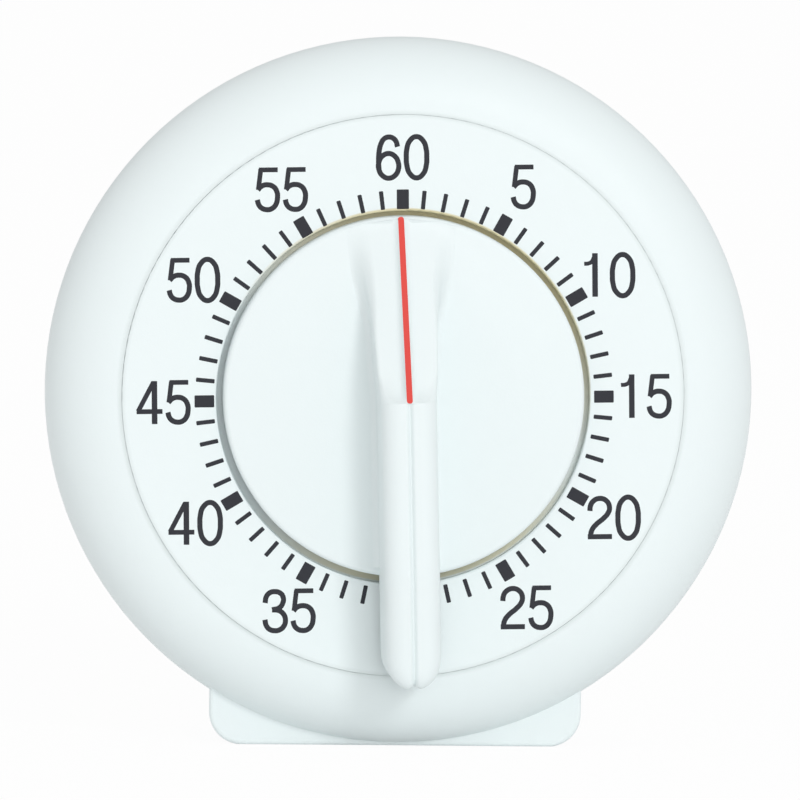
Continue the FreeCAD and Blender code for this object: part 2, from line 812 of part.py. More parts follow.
def knob():
    """Disc in the dial's well, with its hub, grip bar and pointer ridge."""
    body = new_body("knob", turn=S.knob_rest_turn)
    disc_back = S.dial_thickness - S.disc_play
    hub_end = S.cam_level - S.hub_clearance
    turned(body, [
        (-S.disc_rise, 0),
        (-S.disc_rise, S.disc_radius - S.disc_edge),
        (S.disc_edge - S.disc_rise, S.disc_radius, S.disc_edge, -1),
        (disc_back, S.disc_radius),
        (disc_back, S.disc_radius - S.disc_wall),
        (S.disc_wall - S.disc_rise, S.disc_radius - S.disc_wall),
        (S.disc_wall - S.disc_rise, S.hub_radius),
        (hub_end, S.hub_radius),
        (hub_end, 0),
    ])
    half = S.grip_width / 2
    tip = S.grip_tip_round
    shoulder = S.disc_radius - S.pointer_flare
    top = S.disc_radius - S.pointer_margin
    top_half = S.pointer_width / 2
    front = new_sketch(body, "XZ_Plane", "GripOutline", S.grip_gap)
    outline(front, [
        (-half, tip - S.grip_tip),
        (tip - half, -S.grip_tip, tip, 1),
        (half - tip, -S.grip_tip),
        (half, tip - S.grip_tip, tip, 1),
        (half, shoulder),
        (top_half, root(top * top - top_half * top_half)),
        (-top_half, root(top * top - top_half * top_half), top, 1),
        (-half, shoulder),
    ])
    pad(body, front, S.knob_reach - S.grip_gap, back=False)

    side = new_sketch(body, "YZ_Plane", "PointerSlope")
    margin = S.cut_margin
    outline(side, [
        (-S.knob_reach, 0),
        (-S.pointer_end_height, S.disc_radius),
        (-S.knob_reach - margin, S.disc_radius),
        (-S.knob_reach - margin, 0),
    ])
    cut(body, side, both=True)

    tail = new_sketch(body, "YZ_Plane", "GripEnd")
    start = S.grip_end_start
    outline(tail, [
        (-S.knob_reach, -start),
        (-S.knob_reach - margin, -start),
        (-S.knob_reach - margin, -S.grip_tip - margin),
        (S.grip_end_drop - S.knob_reach, -S.grip_tip - margin),
    ])
    cut(body, tail, both=True)
    round_edges(body, S.grip_top_round, grip_top_edge)
    round_edges(body, S.pointer_round, pointer_edge)

    groove_bottom = S.knob_reach - S.grip_end_drop - S.grip_groove_depth
    groove = new_sketch(body, "XZ_Plane", "GripGroove", groove_bottom)
    groove_half = S.grip_groove_width / 2
    outline(groove, [
        (-groove_half, -S.grip_tip - margin),
        (groove_half, -S.grip_tip - margin),
        (groove_half, 0),
        (-groove_half, 0),
    ])
    cut(body, groove, S.grip_end_drop + S.grip_groove_depth + margin, reverse=True)

    rib = new_sketch(body, "YZ_Plane", "PointerRib")
    outline(rib, [
        (-S.knob_reach + S.rib_height, 0),
        (-S.knob_reach, 0),
        (-S.pointer_end_height - S.rib_height, S.disc_radius),
        (-S.pointer_end_height + S.rib_height, S.disc_radius),
    ])
    ridge = pad(body, rib, S.rib_width)
    ridge.Midplane = True
    slot = new_sketch(body, "YZ_Plane", "InlaySlot")
    outline(slot, inlay_steps())
    channel = cut(body, slot, S.inlay_width, both=True)
    channel.Label = "InlayChannel"

    socket = new_sketch(body, "XZ_Plane", "Socket", -hub_end)
    socket.AttachmentOffset.Rotation = FreeCAD.Rotation(Vector(0, 0, -1), 1)
    socket.setExpression("AttachmentOffset.Rotation.Angle", text(S.knob_rest_turn))
    d_outline(socket, S.main_journal_radius + S.d_play, S.d_flat)
    cut(body, socket, S.knob_socket + hub_end, reverse=True)
    return body


def grip_top_edge(edge):
    """Whether an edge runs along the grip bar's top outline."""
    first, last = edge.Vertexes[0].Point, edge.Vertexes[-1].Point
    raised = max(first.y, last.y) < -value(S.disc_rise + S.rib_height)
    one_side = first.x * last.x > 0 or max(first.z, last.z) < value(S.grip_end_drop - S.grip_tip)
    behind = max(first.z, last.z) < value(S.cut_margin)
    return raised and one_side and behind and abs(last.y - first.y) < (last - first).Length / 2


def pointer_edge(edge):
    """Whether an edge runs along the pointer's sloping outline."""
    first, last = edge.Vertexes[0].Point, edge.Vertexes[-1].Point
    raised = max(first.y, last.y) < -value(S.disc_rise + S.pointer_end_height) / 2
    along = max(first.z, last.z) > value(S.pointer_flare) / 2
    return raised and along and first.x * last.x > 0


def inlay_steps():
    """Side view of the inlay, let into the ridge and flush with its top."""
    rim_front = -S.pointer_end_height - S.rib_height
    return [
        (S.inlay_depth - S.knob_reach, 0),
        (-S.knob_reach, 0),
        (rim_front, S.disc_radius),
        (rim_front + S.inlay_depth, S.disc_radius),
    ]


def pointer_inlay():
    body = new_body("pointer_inlay", turn=S.knob_rest_turn)
    sketch = new_sketch(body, "YZ_Plane", "Side")
    outline(sketch, inlay_steps())
    feature = pad(body, sketch, S.inlay_width)
    feature.Midplane = True
    return body


def d_outline(sketch, radius, flat):
    """A round with one flat on its right."""
    edge = radius - flat
    rise = root(radius * radius - edge * edge)
    outline(sketch, [
        (edge, rise),
        (-radius, 0, radius, 1),
        (edge, -rise, radius, 1),
    ])


def rear_case():
    """Back shell with the foot, the screw bosses, the bell's boss and the sound slots."""
    body = new_body("rear_case")
    foot_end = S.foot_front + S.foot_length
    foot_block(body, foot_end, -1, S.parting_depth, foot_end - S.foot_wall)
    outer_back = S.case_depth - S.rear_roll
    lip_start = S.parting_depth - S.lip_length
    lip_radius = S.case_radius - S.wall - S.lip_play
    back_flat = S.rear_back_radius - S.rear_roll
    turned(body, [
        (lip_start, 0),
        (lip_start, lip_radius),
        (S.parting_depth, lip_radius),
        (S.parting_depth, S.rear_radius),
        (outer_back, S.rear_back_radius),
        (S.case_depth, back_flat, S.rear_roll, -1),
        (S.case_depth, 0),
    ])
    inner_roll = S.rear_roll - S.wall
    turned(body, [
        (lip_start, 0),
        (lip_start, lip_radius - S.wall),
        (S.parting_depth, lip_radius - S.wall),
        (outer_back, S.rear_back_radius - S.wall),
        (CASE_INSIDE, back_flat, inner_roll, -1),
        (CASE_INSIDE, 0),
    ], groove=True)

    bosses = new_sketch(body, "XZ_Plane", "ScrewBosses", -S.parting_depth)
    for x, z in CASE_SCREWS:
        circle(bosses, x, z, S.rear_boss_radius)
    pad(body, bosses, S.case_depth - S.wall / 2 - S.parting_depth)
    seats = new_sketch(body, "XZ_Plane", "ScrewSeats", -S.case_screw_seat)
    for x, z in CASE_SCREWS:
        circle(seats, x, z, S.screw_head_radius + S.screw_head_play)
    cut(body, seats)
    holes = new_sketch(body, "XZ_Plane", "ScrewHoles", -S.parting_depth)
    for x, z in CASE_SCREWS:
        circle(holes, x, z, S.screw_radius + S.screw_play)
    cut(body, holes, S.case_screw_seat - S.parting_depth)

    bell_boss = new_sketch(body, "XZ_Plane", "BellBoss", -BELL_CROWN)
    circle(bell_boss, 0, 0, S.bell_boss_radius)
    pad(body, bell_boss, S.bell_boss_length + S.wall / 2)
    bell_hole = new_sketch(body, "XZ_Plane", "BellScrewHole", -BELL_CROWN)
    circle(bell_hole, 0, 0, S.screw_radius + S.screw_play)
    cut(body, bell_hole, BELL_SCREW_DEPTH)

    slots = new_sketch(body, "XZ_Plane", "SoundSlots", -CASE_INSIDE)
    end = S.slot_height / 2
    reach = S.slot_width / 2 - end
    for row in range(int(value(S.slot_rows))):
        for side in (1, -1):
            middle = side * (S.slot_first + row * S.slot_pitch)
            outline(slots, [
                (-reach, middle + end),
                (-reach - end, middle, end, 1),
                (-reach, middle - end, end, 1),
                (reach, middle - end),
                (reach + end, middle, end, 1),
                (reach, middle + end, end, 1),
            ])
    cut(body, slots)
    return body


def movement_plate(label, level, holes):
    """Round steel plate with (place, radius) holes."""
    body = new_body(label, 0, level)
    disc = new_sketch(body, "XZ_Plane", "Plate")
    circle(disc, 0, 0, S.plate_radius)
    pad(body, disc, S.plate_thickness)
    bores = new_sketch(body, "XZ_Plane", "Holes")
    for (x, z), radius in holes:
        circle(bores, x, z, radius)
    cut(body, bores)
    return body


def front_plate():
    pivot = S.pivot_radius + S.pivot_play
    stub = S.pillar_stub_radius + S.pillar_stub_play
    holes = [(MAIN, S.main_journal_radius + S.pivot_play)]
    holes += [(place, pivot) for place in (SECOND, THIRD, ESCAPE, PALLET, HAMMER)]
    holes += [(place, stub) for place in PILLARS]
    holes += [(place, S.screw_radius + S.screw_play) for place in MOVEMENT_SCREWS]
    holes += [(RELEASE, S.release_stud_radius), (RELEASE_PIN, S.release_window)]
    return movement_plate("front_plate", S.front_plate_level, holes)


def rear_plate():
    pivot = S.pivot_radius + S.pivot_play
    stub = S.pillar_stub_radius + S.pillar_stub_play
    holes = [(MAIN, S.main_pivot_radius + S.pivot_play)]
    holes += [(place, pivot) for place in (SECOND, THIRD, ESCAPE, PALLET)]
    holes += [(HAMMER, S.hammer_arbor_radius + S.pivot_play)]
    holes += [(place, stub) for place in PILLARS]
    return movement_plate("rear_plate", REAR_PLATE, holes)


def plate_pillars():
    """Shouldered pillars whose stubs pass through both plates."""
    pillars = []
    stub_start = S.front_plate_level
    stub_end = REAR_PLATE_BACK + S.nut_height + S.stub_proud
    for x, z in PILLARS:
        shoulder = rod(S.pillar_radius, PLATE_BACK, REAR_PLATE, x, z)
        stub = rod(S.pillar_stub_radius, stub_start, stub_end, x, z)
        pillars.append(shoulder.fuse(stub))
    return solid_feature("plate_pillars", Part.makeCompound(pillars))


def pillar_nuts():
    nuts = []
    across_corners = value(S.nut_width) / math.sqrt(3)
    for x, z in PILLARS:
        corners = [front_point(across_corners, math.radians(60 * i)) for i in range(7)]
        nut = plate_of(Part.makePolygon(corners), S.nut_height)
        nut = nut.cut(rod(S.pillar_stub_radius + S.pillar_stub_play, 0, S.nut_height))
        nut.translate(Vector(value(x), value(REAR_PLATE_BACK), value(z)))
        nuts.append(nut)
    return solid_feature("pillar_nuts", Part.makeCompound(nuts))


def slotted_screw(seat, length, x, z):
    """A pan-head screw whose head stands behind its seat."""
    head_end = seat + S.screw_head_height
    head = rod(S.screw_head_radius, seat, head_end, x, z)
    rim = max(head.Edges, key=lambda edge: edge.BoundBox.YMax + edge.Length / 1000)
    head = head.makeFillet(value(S.screw_head_round), [rim])
    shank = rod(S.screw_radius, seat - length, seat, x, z)
    half, slot = value(S.screw_head_radius + S.cut_margin), value(S.screw_slot)
    corner = Vector(value(x) - half, value(head_end) - slot, value(z) - slot / 2)
    return head.fuse(shank).cut(Part.makeBox(half * 2, slot * 2, slot, corner))


def case_screws():
    screws = [slotted_screw(S.case_screw_seat, S.case_screw_length, x, z) for x, z in CASE_SCREWS]
    return solid_feature("case_screws", Part.makeCompound(screws))


def movement_screws():
    screws = [slotted_screw(PLATE_BACK, S.movement_screw_length, x, z) for x, z in MOVEMENT_SCREWS]
    return solid_feature("movement_screws", Part.makeCompound(screws))


def main_arbor():
    """Arbor with the spring's core, its pivots, and the flatted end that carries the knob."""
    body = new_body("main_arbor")
    front_end = S.main_arbor_reach
    shoulder = PLATE_BACK + S.shoulder_play
    rear_shoulder = REAR_PLATE - S.shoulder_play
    turned(body, shaft_steps(
        (-front_end, shoulder, S.main_journal_radius),
        (shoulder, SPRING, S.main_arbor_radius),
        (SPRING, SPRING + S.spring_width, S.spring_core_radius),
        (SPRING + S.spring_width, rear_shoulder, S.main_arbor_radius),
        (rear_shoulder, REAR_PLATE_BACK, S.main_pivot_radius),
    ))
    flat = new_sketch(body, "XZ_Plane", "Flat", front_end)
    edge = S.main_journal_radius - S.d_flat
    outline(flat, [
        (edge, -S.main_arbor_radius),
        (S.main_arbor_radius, -S.main_arbor_radius),
        (S.main_arbor_radius, S.main_arbor_radius),
        (edge, S.main_arbor_radius),
    ])
    cut(body, flat, front_end + S.cam_level - S.hub_clearance)
    return body


def wheel_arbor(label, place, core, pinion=None):
    """An arbor with pivots in both plates, and an optional pinion as (teeth, module, start, end)."""
    pivot = rod(S.pivot_radius, S.front_plate_level, REAR_PLATE_BACK)
    shape = pivot.fuse(rod(core, PLATE_BACK + S.shoulder_play, REAR_PLATE - S.shoulder_play))
    if pinion:
        teeth, module, start, end = pinion
        shift = value(S.tooth_shift)
        wire = gear_wire(teeth, module, shift, value(S.pinion_addendum) + shift,
                         value(S.tooth_dedendum) - shift)
        leaves = plate_of(wire, end - start)
        leaves.rotate(Vector(), Vector(0, -1, 0), pinion_phase(label, teeth))
        leaves.translate(Vector(0, value(start), 0))
        shape = shape.fuse(leaves)
    return solid_feature(label, shape, place[0], 0, place[1])


def pinion_phase(label, teeth):
    """Turns a pinion so that a gap faces the wheel that drives it."""
    facing = {
        "second_pinion": S.second_angle,
        "third_pinion": S.third_angle,
        "escape_pinion": S.escape_angle,
    }[label]
    return value(facing) + 180 + 180 / value(teeth)


def second_pinion():
    start, end = MAIN_WHEEL - S.pinion_overlap, SECOND_WHEEL - S.pinion_overlap
    return wheel_arbor("second_pinion", SECOND, S.second_arbor_radius,
                       (S.second_pinion_teeth, S.main_module, start, end))


def third_pinion():
    start = SECOND_WHEEL - S.pinion_overlap
    end = SECOND_WHEEL + S.wheel_thickness + S.pinion_overlap
    return wheel_arbor("third_pinion", THIRD, S.third_arbor_radius,
                       (S.third_pinion_teeth, S.second_module, start, end))


def escape_pinion():
    start = THIRD_WHEEL - S.pinion_overlap
    end = THIRD_WHEEL + S.wheel_thickness + S.pinion_overlap
    return wheel_arbor("escape_pinion", ESCAPE, S.escape_arbor_radius,
                       (S.escape_pinion_teeth, S.third_module, start, end))


def pallet_arbor():
    return wheel_arbor("pallet_arbor", PALLET, S.pallet_arbor_radius)


def main_wheel():
    shape = wheel_shape(S.main_teeth, S.main_module, S.main_arbor_radius)
    rivet = polar(S.click_distance, S.click_angle)
    shape = shape.cut(rod(S.click_rivet_radius, 0, S.wheel_thickness, *rivet))
    return solid_feature("main_wheel", shape, 0, MAIN_WHEEL, 0, S.second_angle)


def second_wheel():
    shape = wheel_shape(S.second_teeth, S.second_module, S.second_arbor_radius)
    return solid_feature("second_wheel", shape, SECOND[0], SECOND_WHEEL, SECOND[1], S.third_angle)


def third_wheel():
    shape = wheel_shape(S.third_teeth, S.third_module, S.third_arbor_radius)
    return solid_feature("third_wheel", shape, THIRD[0], THIRD_WHEEL, THIRD[1], S.escape_angle)


def pointed_wire(teeth, radius, depth):
    """Outline of a wheel with pointed teeth, one of them on the right-hand side."""
    count, radius = int(value(teeth)), value(radius)
    root_radius = radius - value(depth)
    pitch = 2 * math.pi / count
    foot, tip = value(S.point_root_share), value(S.point_tip_share)
    ring = []
    for i in range(count):
        ring.append(front_point(root_radius, (i - 0.5) * pitch))
        ring.append(front_point(root_radius, (i - foot) * pitch))
        ring.append(front_point(radius, (i - tip) * pitch))
        ring.append(front_point(radius, (i + tip) * pitch))
        ring.append(front_point(root_radius, (i + foot) * pitch))
    return Part.makePolygon(ring + [ring[0]])


def escape_wheel():
    wire = pointed_wire(S.escape_teeth, S.escape_radius, S.escape_tooth_depth)
    shape = plate_of(wire, S.wheel_thickness).cut(rod(S.escape_arbor_radius, 0, S.wheel_thickness))
    count = int(value(S.escape_holes))
    places = [polar(S.escape_hole_orbit, 360 / count * (i + 0.5)) for i in range(count)]
    holes = [rod(S.escape_hole_radius, 0, S.wheel_thickness, x, z) for x, z in places]
    return solid_feature("escape_wheel", shape.cut(holes), ESCAPE[0], ESCAPE_WHEEL, ESCAPE[1],
                         S.pallet_angle)


def strike_wheel():
    wire = pointed_wire(S.star_teeth, S.star_radius, S.star_tooth_depth)
    shape = plate_of(wire, S.wheel_thickness).cut(rod(S.third_arbor_radius, 0, S.wheel_thickness))
    return solid_feature("strike_wheel", shape, THIRD[0], STAR, THIRD[1], S.hammer_angle)


def ratchet_wheel():
    """Saw-toothed wheel on the main arbor."""
    count = int(value(S.ratchet_teeth))
    outer = value(S.ratchet_radius)
    inner = outer - value(S.ratchet_tooth_depth)
    pitch = 2 * math.pi / count
    ring = []
    for i in range(count):
        ring.append(front_point(inner, i * pitch))
        ring.append(front_point(outer, i * pitch))
    shape = plate_of(Part.makePolygon(ring + [ring[0]]), S.wheel_thickness)
    shape = shape.cut(rod(S.main_arbor_radius, 0, S.wheel_thickness))
    return solid_feature("ratchet_wheel", shape, 0, RATCHET, 0)


def click_place():
    return pair(polar(S.click_distance, S.click_angle + S.second_angle))


def click_beak():
    pivot = click_place()
    angle = math.atan2(pivot[1], pivot[0]) - math.radians(value(S.click_lag))
    reach = value(S.ratchet_radius) + value(S.click_beak) / 2 + value(S.click_clearance)
    beak = front_point(reach, angle)
    return beak.x, beak.z


def click():
    """Pawl on the main wheel, its beak just clear of the ratchet's teeth."""
    pivot = click_place()
    arm = bar(pivot, click_beak(), value(S.click_beak), S.wheel_thickness)
    hub = rod(S.click_width, 0, S.wheel_thickness, *pivot)
    shape = hub.fuse(arm).cut(rod(S.click_rivet_radius, 0, S.wheel_thickness, *pivot))
    return solid_feature("click", shape, 0, RATCHET, 0)


def click_rivet():
    x, z = click_place()
    start = MAIN_WHEEL
    head_end = RATCHET + S.wheel_thickness
    shank = rod(S.click_rivet_radius, start, head_end, x, z)
    head = rod(S.click_rivet_head_radius, head_end, head_end + S.click_rivet_head, x, z)
    return solid_feature("click_rivet", shank.fuse(head))


def click_spring():
    """Leaf that presses the click inwards, standing on a tab of the main wheel's rim."""
    pivot, beak = (Vector(x, 0, z) for x, z in (click_place(), click_beak()))
    along = (beak - pivot).normalize()
    outward = Vector(-along.z, 0, along.x)
    if outward.dot(pivot) < 0:
        outward = outward * -1
    gap = value(S.click_beak) / 2 + value(S.leaf_clearance) + value(S.leaf_thickness) / 2
    end = (pivot + beak) * 0.5 + outward * gap
    angle = math.atan2(pivot.z, pivot.x) - math.radians(value(S.click_spring_lag))
    foot = front_point(value(S.click_spring_orbit), angle)
    leaf = strip([(foot.x, foot.z), (end.x, end.z)], value(S.leaf_thickness), S.wheel_thickness)
    tab = rod(S.leaf_tab_radius, value(-S.ratchet_gap), S.wheel_thickness, foot.x, foot.z)
    return solid_feature("click_spring", leaf.fuse(tab), 0, RATCHET, 0)


def trip_cam():
    """Disc with a notch for the release lever's nose."""
    disc = rod(S.cam_radius, 0, S.cam_thickness).cut(rod(S.main_journal_radius, 0, S.cam_thickness))
    nose = pair(NOSE)
    angle = math.atan2(nose[1], nose[0])
    bottom = front_point(value(S.cam_radius) - value(S.notch_depth) + value(S.notch_width) / 2, angle)
    outside = front_point(value(S.cam_radius + S.notch_width), angle)
    notch = bar((bottom.x, bottom.z), (outside.x, outside.z), value(S.notch_width), S.cam_thickness)
    return solid_feature("trip_cam", disc.cut(notch), 0, S.cam_level, 0)


def release_stud():
    start = S.cam_level - S.release_stud_head
    steps = shaft_steps(
        (start, S.cam_level - S.stud_play, S.release_stud_head_radius),
        (S.cam_level - S.stud_play, PLATE_BACK, S.release_stud_radius),
    )
    return turned_piece("release_stud", steps, RELEASE[0], 0, RELEASE[1])


def release_elbow():
    """Where the lever's arm ends, straight above its nose."""
    nose = pair(NOSE)
    share = 1 + value(S.release_width + S.nose_width) / math.hypot(*nose)
    return nose[0] * share, nose[1] * share


def release_lever():
    """Lever with a nose over the cam's notch and a pin that holds the hammer back."""
    pivot, nose, pin, elbow = pair(RELEASE), pair(NOSE), pair(RELEASE_PIN), release_elbow()
    thick, wide = S.cam_thickness, value(S.release_width)
    shape = rod(S.release_hub_radius, 0, thick, *pivot)
    shape = shape.fuse([
        bar(pivot, elbow, wide, thick),
        bar(elbow, nose, value(S.nose_width), thick),
        bar(pivot, pin, wide, thick),
        rod(S.release_pin_radius, 0, STAR + S.wheel_thickness - S.cam_level, *pin),
    ])
    shape = shape.cut(rod(S.release_stud_radius + S.pivot_play, 0, thick, *pivot))
    return solid_feature("release_lever", shape.removeSplitter(), 0, S.cam_level, 0)


def release_spring():
    """Leaf that presses the release lever towards the cam."""
    middle = pair(NOSE)[0]
    top = release_elbow()[1] + value(S.release_width / 2 + S.leaf_clearance)
    foot = (middle + value(S.release_spring_foot_x), top + value(S.release_spring_foot_z))
    bend = (middle + value(S.release_spring_bend_x), top + value(S.release_spring_bend_z))
    end = (middle + value(S.release_spring_end_x), top + value(S.release_spring_end_z))
    leaf = strip([foot, bend, end], value(S.leaf_thickness), S.cam_thickness)
    tab = rod(S.leaf_tab_radius, 0, S.front_plate_level - S.cam_level, *foot)
    return solid_feature("release_spring", leaf.fuse(tab), 0, S.cam_level, 0)


def pallet_anchor():
    """Anchor with two pins that stand over the gaps of the escape wheel."""
    pivot = pair(PALLET)
    radius = S.escape_radius + S.pallet_pin_radius + S.pallet_pin_clearance
    arms = [rod(S.anchor_hub_radius, 0, S.wheel_thickness, *pivot)]
    for side in (1, -1):
        angle = S.pallet_angle + side * S.pallet_span
        pin = pair(polar(radius, angle, ESCAPE))
        outer = pair(polar(radius + S.anchor_arm_reach, angle, ESCAPE))
        arms.append(bar(pivot, outer, value(S.anchor_arm_width), S.wheel_thickness))
        arms.append(bar(outer, pin, value(S.pallet_pin_radius) * 2, S.wheel_thickness))
    shape = arms[0].fuse(arms[1:]).cut(rod(S.pallet_arbor_radius, 0, S.wheel_thickness, *pivot))
    return solid_feature("pallet_anchor", shape.removeSplitter(), 0, ESCAPE_WHEEL, 0)


def balance_bar():
    """Bar on the pallet arbor, set a little to one side so that it balances the anchor."""
    x, z = pair(PALLET)
    middle = x + value(S.balance_offset)
    reach = value(S.balance_length - S.balance_width) / 2
    shape = bar((middle - reach, z), (middle + reach, z), value(S.balance_width), S.balance_thickness)
    shape = shape.cut(rod(S.pallet_arbor_radius, 0, S.balance_thickness, x, z))
    return solid_feature("balance_bar", shape, 0, BALANCE, 0)


def hammer_arbor():
    shoulder = PLATE_BACK + S.shoulder_play
    end = HAMMER_ARM + S.wheel_thickness + S.stub_proud
    steps = shaft_steps(
        (S.front_plate_level, shoulder, S.pivot_radius),
        (shoulder, end, S.hammer_arbor_radius),
    )
    return turned_piece("hammer_arbor", steps, HAMMER[0], 0, HAMMER[1])


def hammer_tail():
    """Arm between the plates that the star wheel would flick."""
    pivot = pair(HAMMER)
    tip_distance = S.hammer_distance - S.star_radius - S.star_clearance - S.hammer_tail_width / 2
    tip = pair(polar(tip_distance, S.hammer_angle + 180, HAMMER))
    shape = rod(S.hammer_hub_radius, 0, S.wheel_thickness, *pivot)
    shape = shape.fuse(bar(pivot, tip, value(S.hammer_tail_width), S.wheel_thickness))
    shape = shape.cut(rod(S.hammer_arbor_radius, 0, S.wheel_thickness, *pivot))
    return solid_feature("hammer_tail", shape.removeSplitter(), 0, STAR, 0)


def hammer_spring():
    """Leaf below the hammer's tail that throws the hammer at the bell."""
    pivot = pair(HAMMER)
    below = S.hammer_tail_width / 2 + S.leaf_clearance + S.leaf_thickness
    under = polar(S.hammer_spring_reach, S.hammer_angle + 180, HAMMER)
    end = pair(polar(below, S.hammer_angle + 90, under))
    foot = (pivot[0] + value(S.hammer_spring_foot_x), pivot[1] + value(S.hammer_spring_foot_z))
    bend = (foot[0] + value(S.hammer_spring_bend_x), foot[1] + value(S.hammer_spring_bend_z))
    leaf = strip([foot, bend, end], value(S.leaf_thickness), S.wheel_thickness)
    tab = rod(S.leaf_tab_radius, 0, REAR_PLATE - STAR, *foot)
    return solid_feature("hammer_spring", leaf.fuse(tab), 0, STAR, 0)


def bell_hammer():
    """Hammer arm behind the rear plate, with the head inside the bell's rim."""
    pivot, head = pair(HAMMER), pair(HAMMER_HEAD)
    shape = rod(S.hammer_hub_radius, 0, S.wheel_thickness, *pivot)
    shape = shape.fuse([
        bar(pivot, head, value(S.hammer_arm_width), S.wheel_thickness),
        rod(S.hammer_head_radius, 0, S.wheel_thickness + S.hammer_head_length, *head),
    ])
    shape = shape.cut(rod(S.hammer_arbor_radius, 0, S.wheel_thickness, *pivot))
    return solid_feature("bell_hammer", shape.removeSplitter(), 0, HAMMER_ARM, 0)


def bell():
    """Pressed steel gong."""
    outer, wall, roll = S.bell_radius, S.bell_wall, S.bell_roll
    hole = S.screw_radius + S.screw_play
    return turned_piece("bell", [
        (BELL_RIM, outer - wall),
        (BELL_RIM, outer),
        (BELL_CROWN - roll, outer),
        (BELL_CROWN, outer - roll, roll, -1),
        (BELL_CROWN, hole),
        (BELL_CROWN - wall, hole),
        (BELL_CROWN - wall, outer - roll),
        (BELL_CROWN - roll, outer - wall, roll - wall, 1),
    ])


def bell_washer():
    hole = S.screw_radius + S.screw_play
    back = BELL_CROWN - S.bell_wall
    return turned_piece("bell_washer", [
        (back - S.washer_thickness, hole),
        (back - S.washer_thickness, S.washer_radius),
        (back, S.washer_radius),
        (back, hole),
    ])


def bell_screw():
    """Screw whose head stands inside the bell."""
    seat = BELL_CROWN - S.bell_wall - S.washer_thickness
    return turned_piece("bell_screw", shaft_steps(
        (seat - S.screw_head_height, seat, S.screw_head_radius),
        (seat, BELL_CROWN + BELL_SCREW_DEPTH - S.screw_play, S.screw_radius),
    ))


def mainspring():
    """Flat spiral whose tail runs up to a pillar and hooks round it."""
    half = value(S.strip_thickness) / 2
    pitch = value(S.strip_pitch)
    start = value(SPRING_START)

    def half_turns(offset):
        arcs = []
        for i in range(2 * int(value(S.strip_coils))):
            side = 1 if i % 2 == 0 else -1
            centre = -side * pitch / 4
            radius = start + pitch / 4 + i * pitch / 2 + offset
            arcs.append([Vector(centre + side * radius, 0, 0),
                         Vector(centre, 0, side * radius),
                         Vector(centre - side * radius, 0, 0)])
        return arcs

    def hook(radius):
        x, z = pair(PILLARS[0])
        return [Vector(x - radius, 0, z), Vector(x, 0, z + radius), Vector(x + radius, 0, z)]

    outer, inner = half_turns(half), half_turns(-half)
    near = hook(value(S.pillar_radius) + value(S.strip_play))
    far = hook(value(S.pillar_radius) + value(S.strip_play) + 2 * half)
    edges = [Part.Arc(*points) for points in outer]
    edges.append(Part.LineSegment(outer[-1][2], near[0]))
    edges.append(Part.Arc(*near))
    edges.append(Part.LineSegment(near[2], far[2]))
    edges.append(Part.Arc(*reversed(far)))
    edges.append(Part.LineSegment(far[0], inner[-1][2]))
    edges += [Part.Arc(*reversed(points)) for points in reversed(inner)]
    edges.append(Part.LineSegment(inner[0][0], outer[0][0]))
    wire = Part.Wire([edge.toShape() for edge in edges])
    return solid_feature("mainspring", plate_of(wire, S.spring_width), 0, SPRING, 0)


PIECES = [
    front_case, dial_plate, knob, pointer_inlay, rear_case, case_screws,
    front_plate, rear_plate, plate_pillars, pillar_nuts, movement_screws,
    main_arbor, main_wheel, ratchet_wheel, click, click_rivet, click_spring, mainspring, trip_cam,
    second_pinion, second_wheel, third_pinion, third_wheel, strike_wheel,
    escape_pinion, escape_wheel, pallet_arbor, pallet_anchor, balance_bar,
    release_stud, release_lever, release_spring,
    hammer_arbor, hammer_tail, hammer_spring, bell_hammer,
    bell, bell_washer, bell_screw,
]

pieces = [make() for make in PIECES]
doc.recompute()

for thing in doc.Objects:
    if "Invalid" in thing.State or "Error" in thing.State:
        raise RuntimeError(f"{thing.Label} failed: {thing.State}")
for piece in pieces:
    if piece.Shape.isNull() or not piece.Shape.isValid():
        raise RuntimeError(f"{piece.Label} has no valid shape")

os.makedirs("parts", exist_ok=True)
for piece in pieces:
    piece.Shape.exportStep(f"parts/{piece.Label}.step")
    print(f"{piece.Label}: {len(piece.Shape.Solids)} solids, {piece.Shape.Volume:.1f} mm3")
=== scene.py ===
import math

import bmesh
import bpy
from mathutils import Matrix, Quaternion, Vector


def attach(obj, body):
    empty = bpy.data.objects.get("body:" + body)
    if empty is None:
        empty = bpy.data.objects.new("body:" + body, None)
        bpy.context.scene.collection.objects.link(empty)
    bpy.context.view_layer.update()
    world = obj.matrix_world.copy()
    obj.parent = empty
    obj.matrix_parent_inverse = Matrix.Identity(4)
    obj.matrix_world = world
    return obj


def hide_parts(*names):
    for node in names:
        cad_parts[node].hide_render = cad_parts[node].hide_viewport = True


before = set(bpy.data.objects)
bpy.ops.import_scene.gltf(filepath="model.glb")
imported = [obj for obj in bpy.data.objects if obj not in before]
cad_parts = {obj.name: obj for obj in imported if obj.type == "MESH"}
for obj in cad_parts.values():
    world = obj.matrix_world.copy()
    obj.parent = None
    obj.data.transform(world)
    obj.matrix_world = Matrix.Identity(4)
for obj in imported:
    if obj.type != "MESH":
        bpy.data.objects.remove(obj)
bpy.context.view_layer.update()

MM = 0.001
DIAL_Y = -11.25 * MM
AXIS_Z = 54.2 * MM

# Where shade is painted on the dial and the bezel, in the gap round the knob and along their seam,
# millimetres from the dial's axis
WELL_RADIUS = 28.5
WELL_BLEND = 0.25
SEAM_RADIUS = 42.95
SEAM_REACH = 0.85
# Sides of the well that get brownish painted shade: direction from the axis, share of the well's radius
# where the painted shade starts, and its most
SHADED_WELL_SIDES = [((0.42, 0, 0.91), -0.1, 1.0), ((0.17, 0, -0.985), 0.4, 0.75)]
# Brownish colour of the painted shade in the gap round the knob
WELL_SHADE_COLOUR = (0.68, 0.60, 0.34, 1)
# Colour of the painted shade along the seam between the dial and the bezel
SEAM_SHADE_COLOUR = (0.72, 0.785, 0.785, 1)

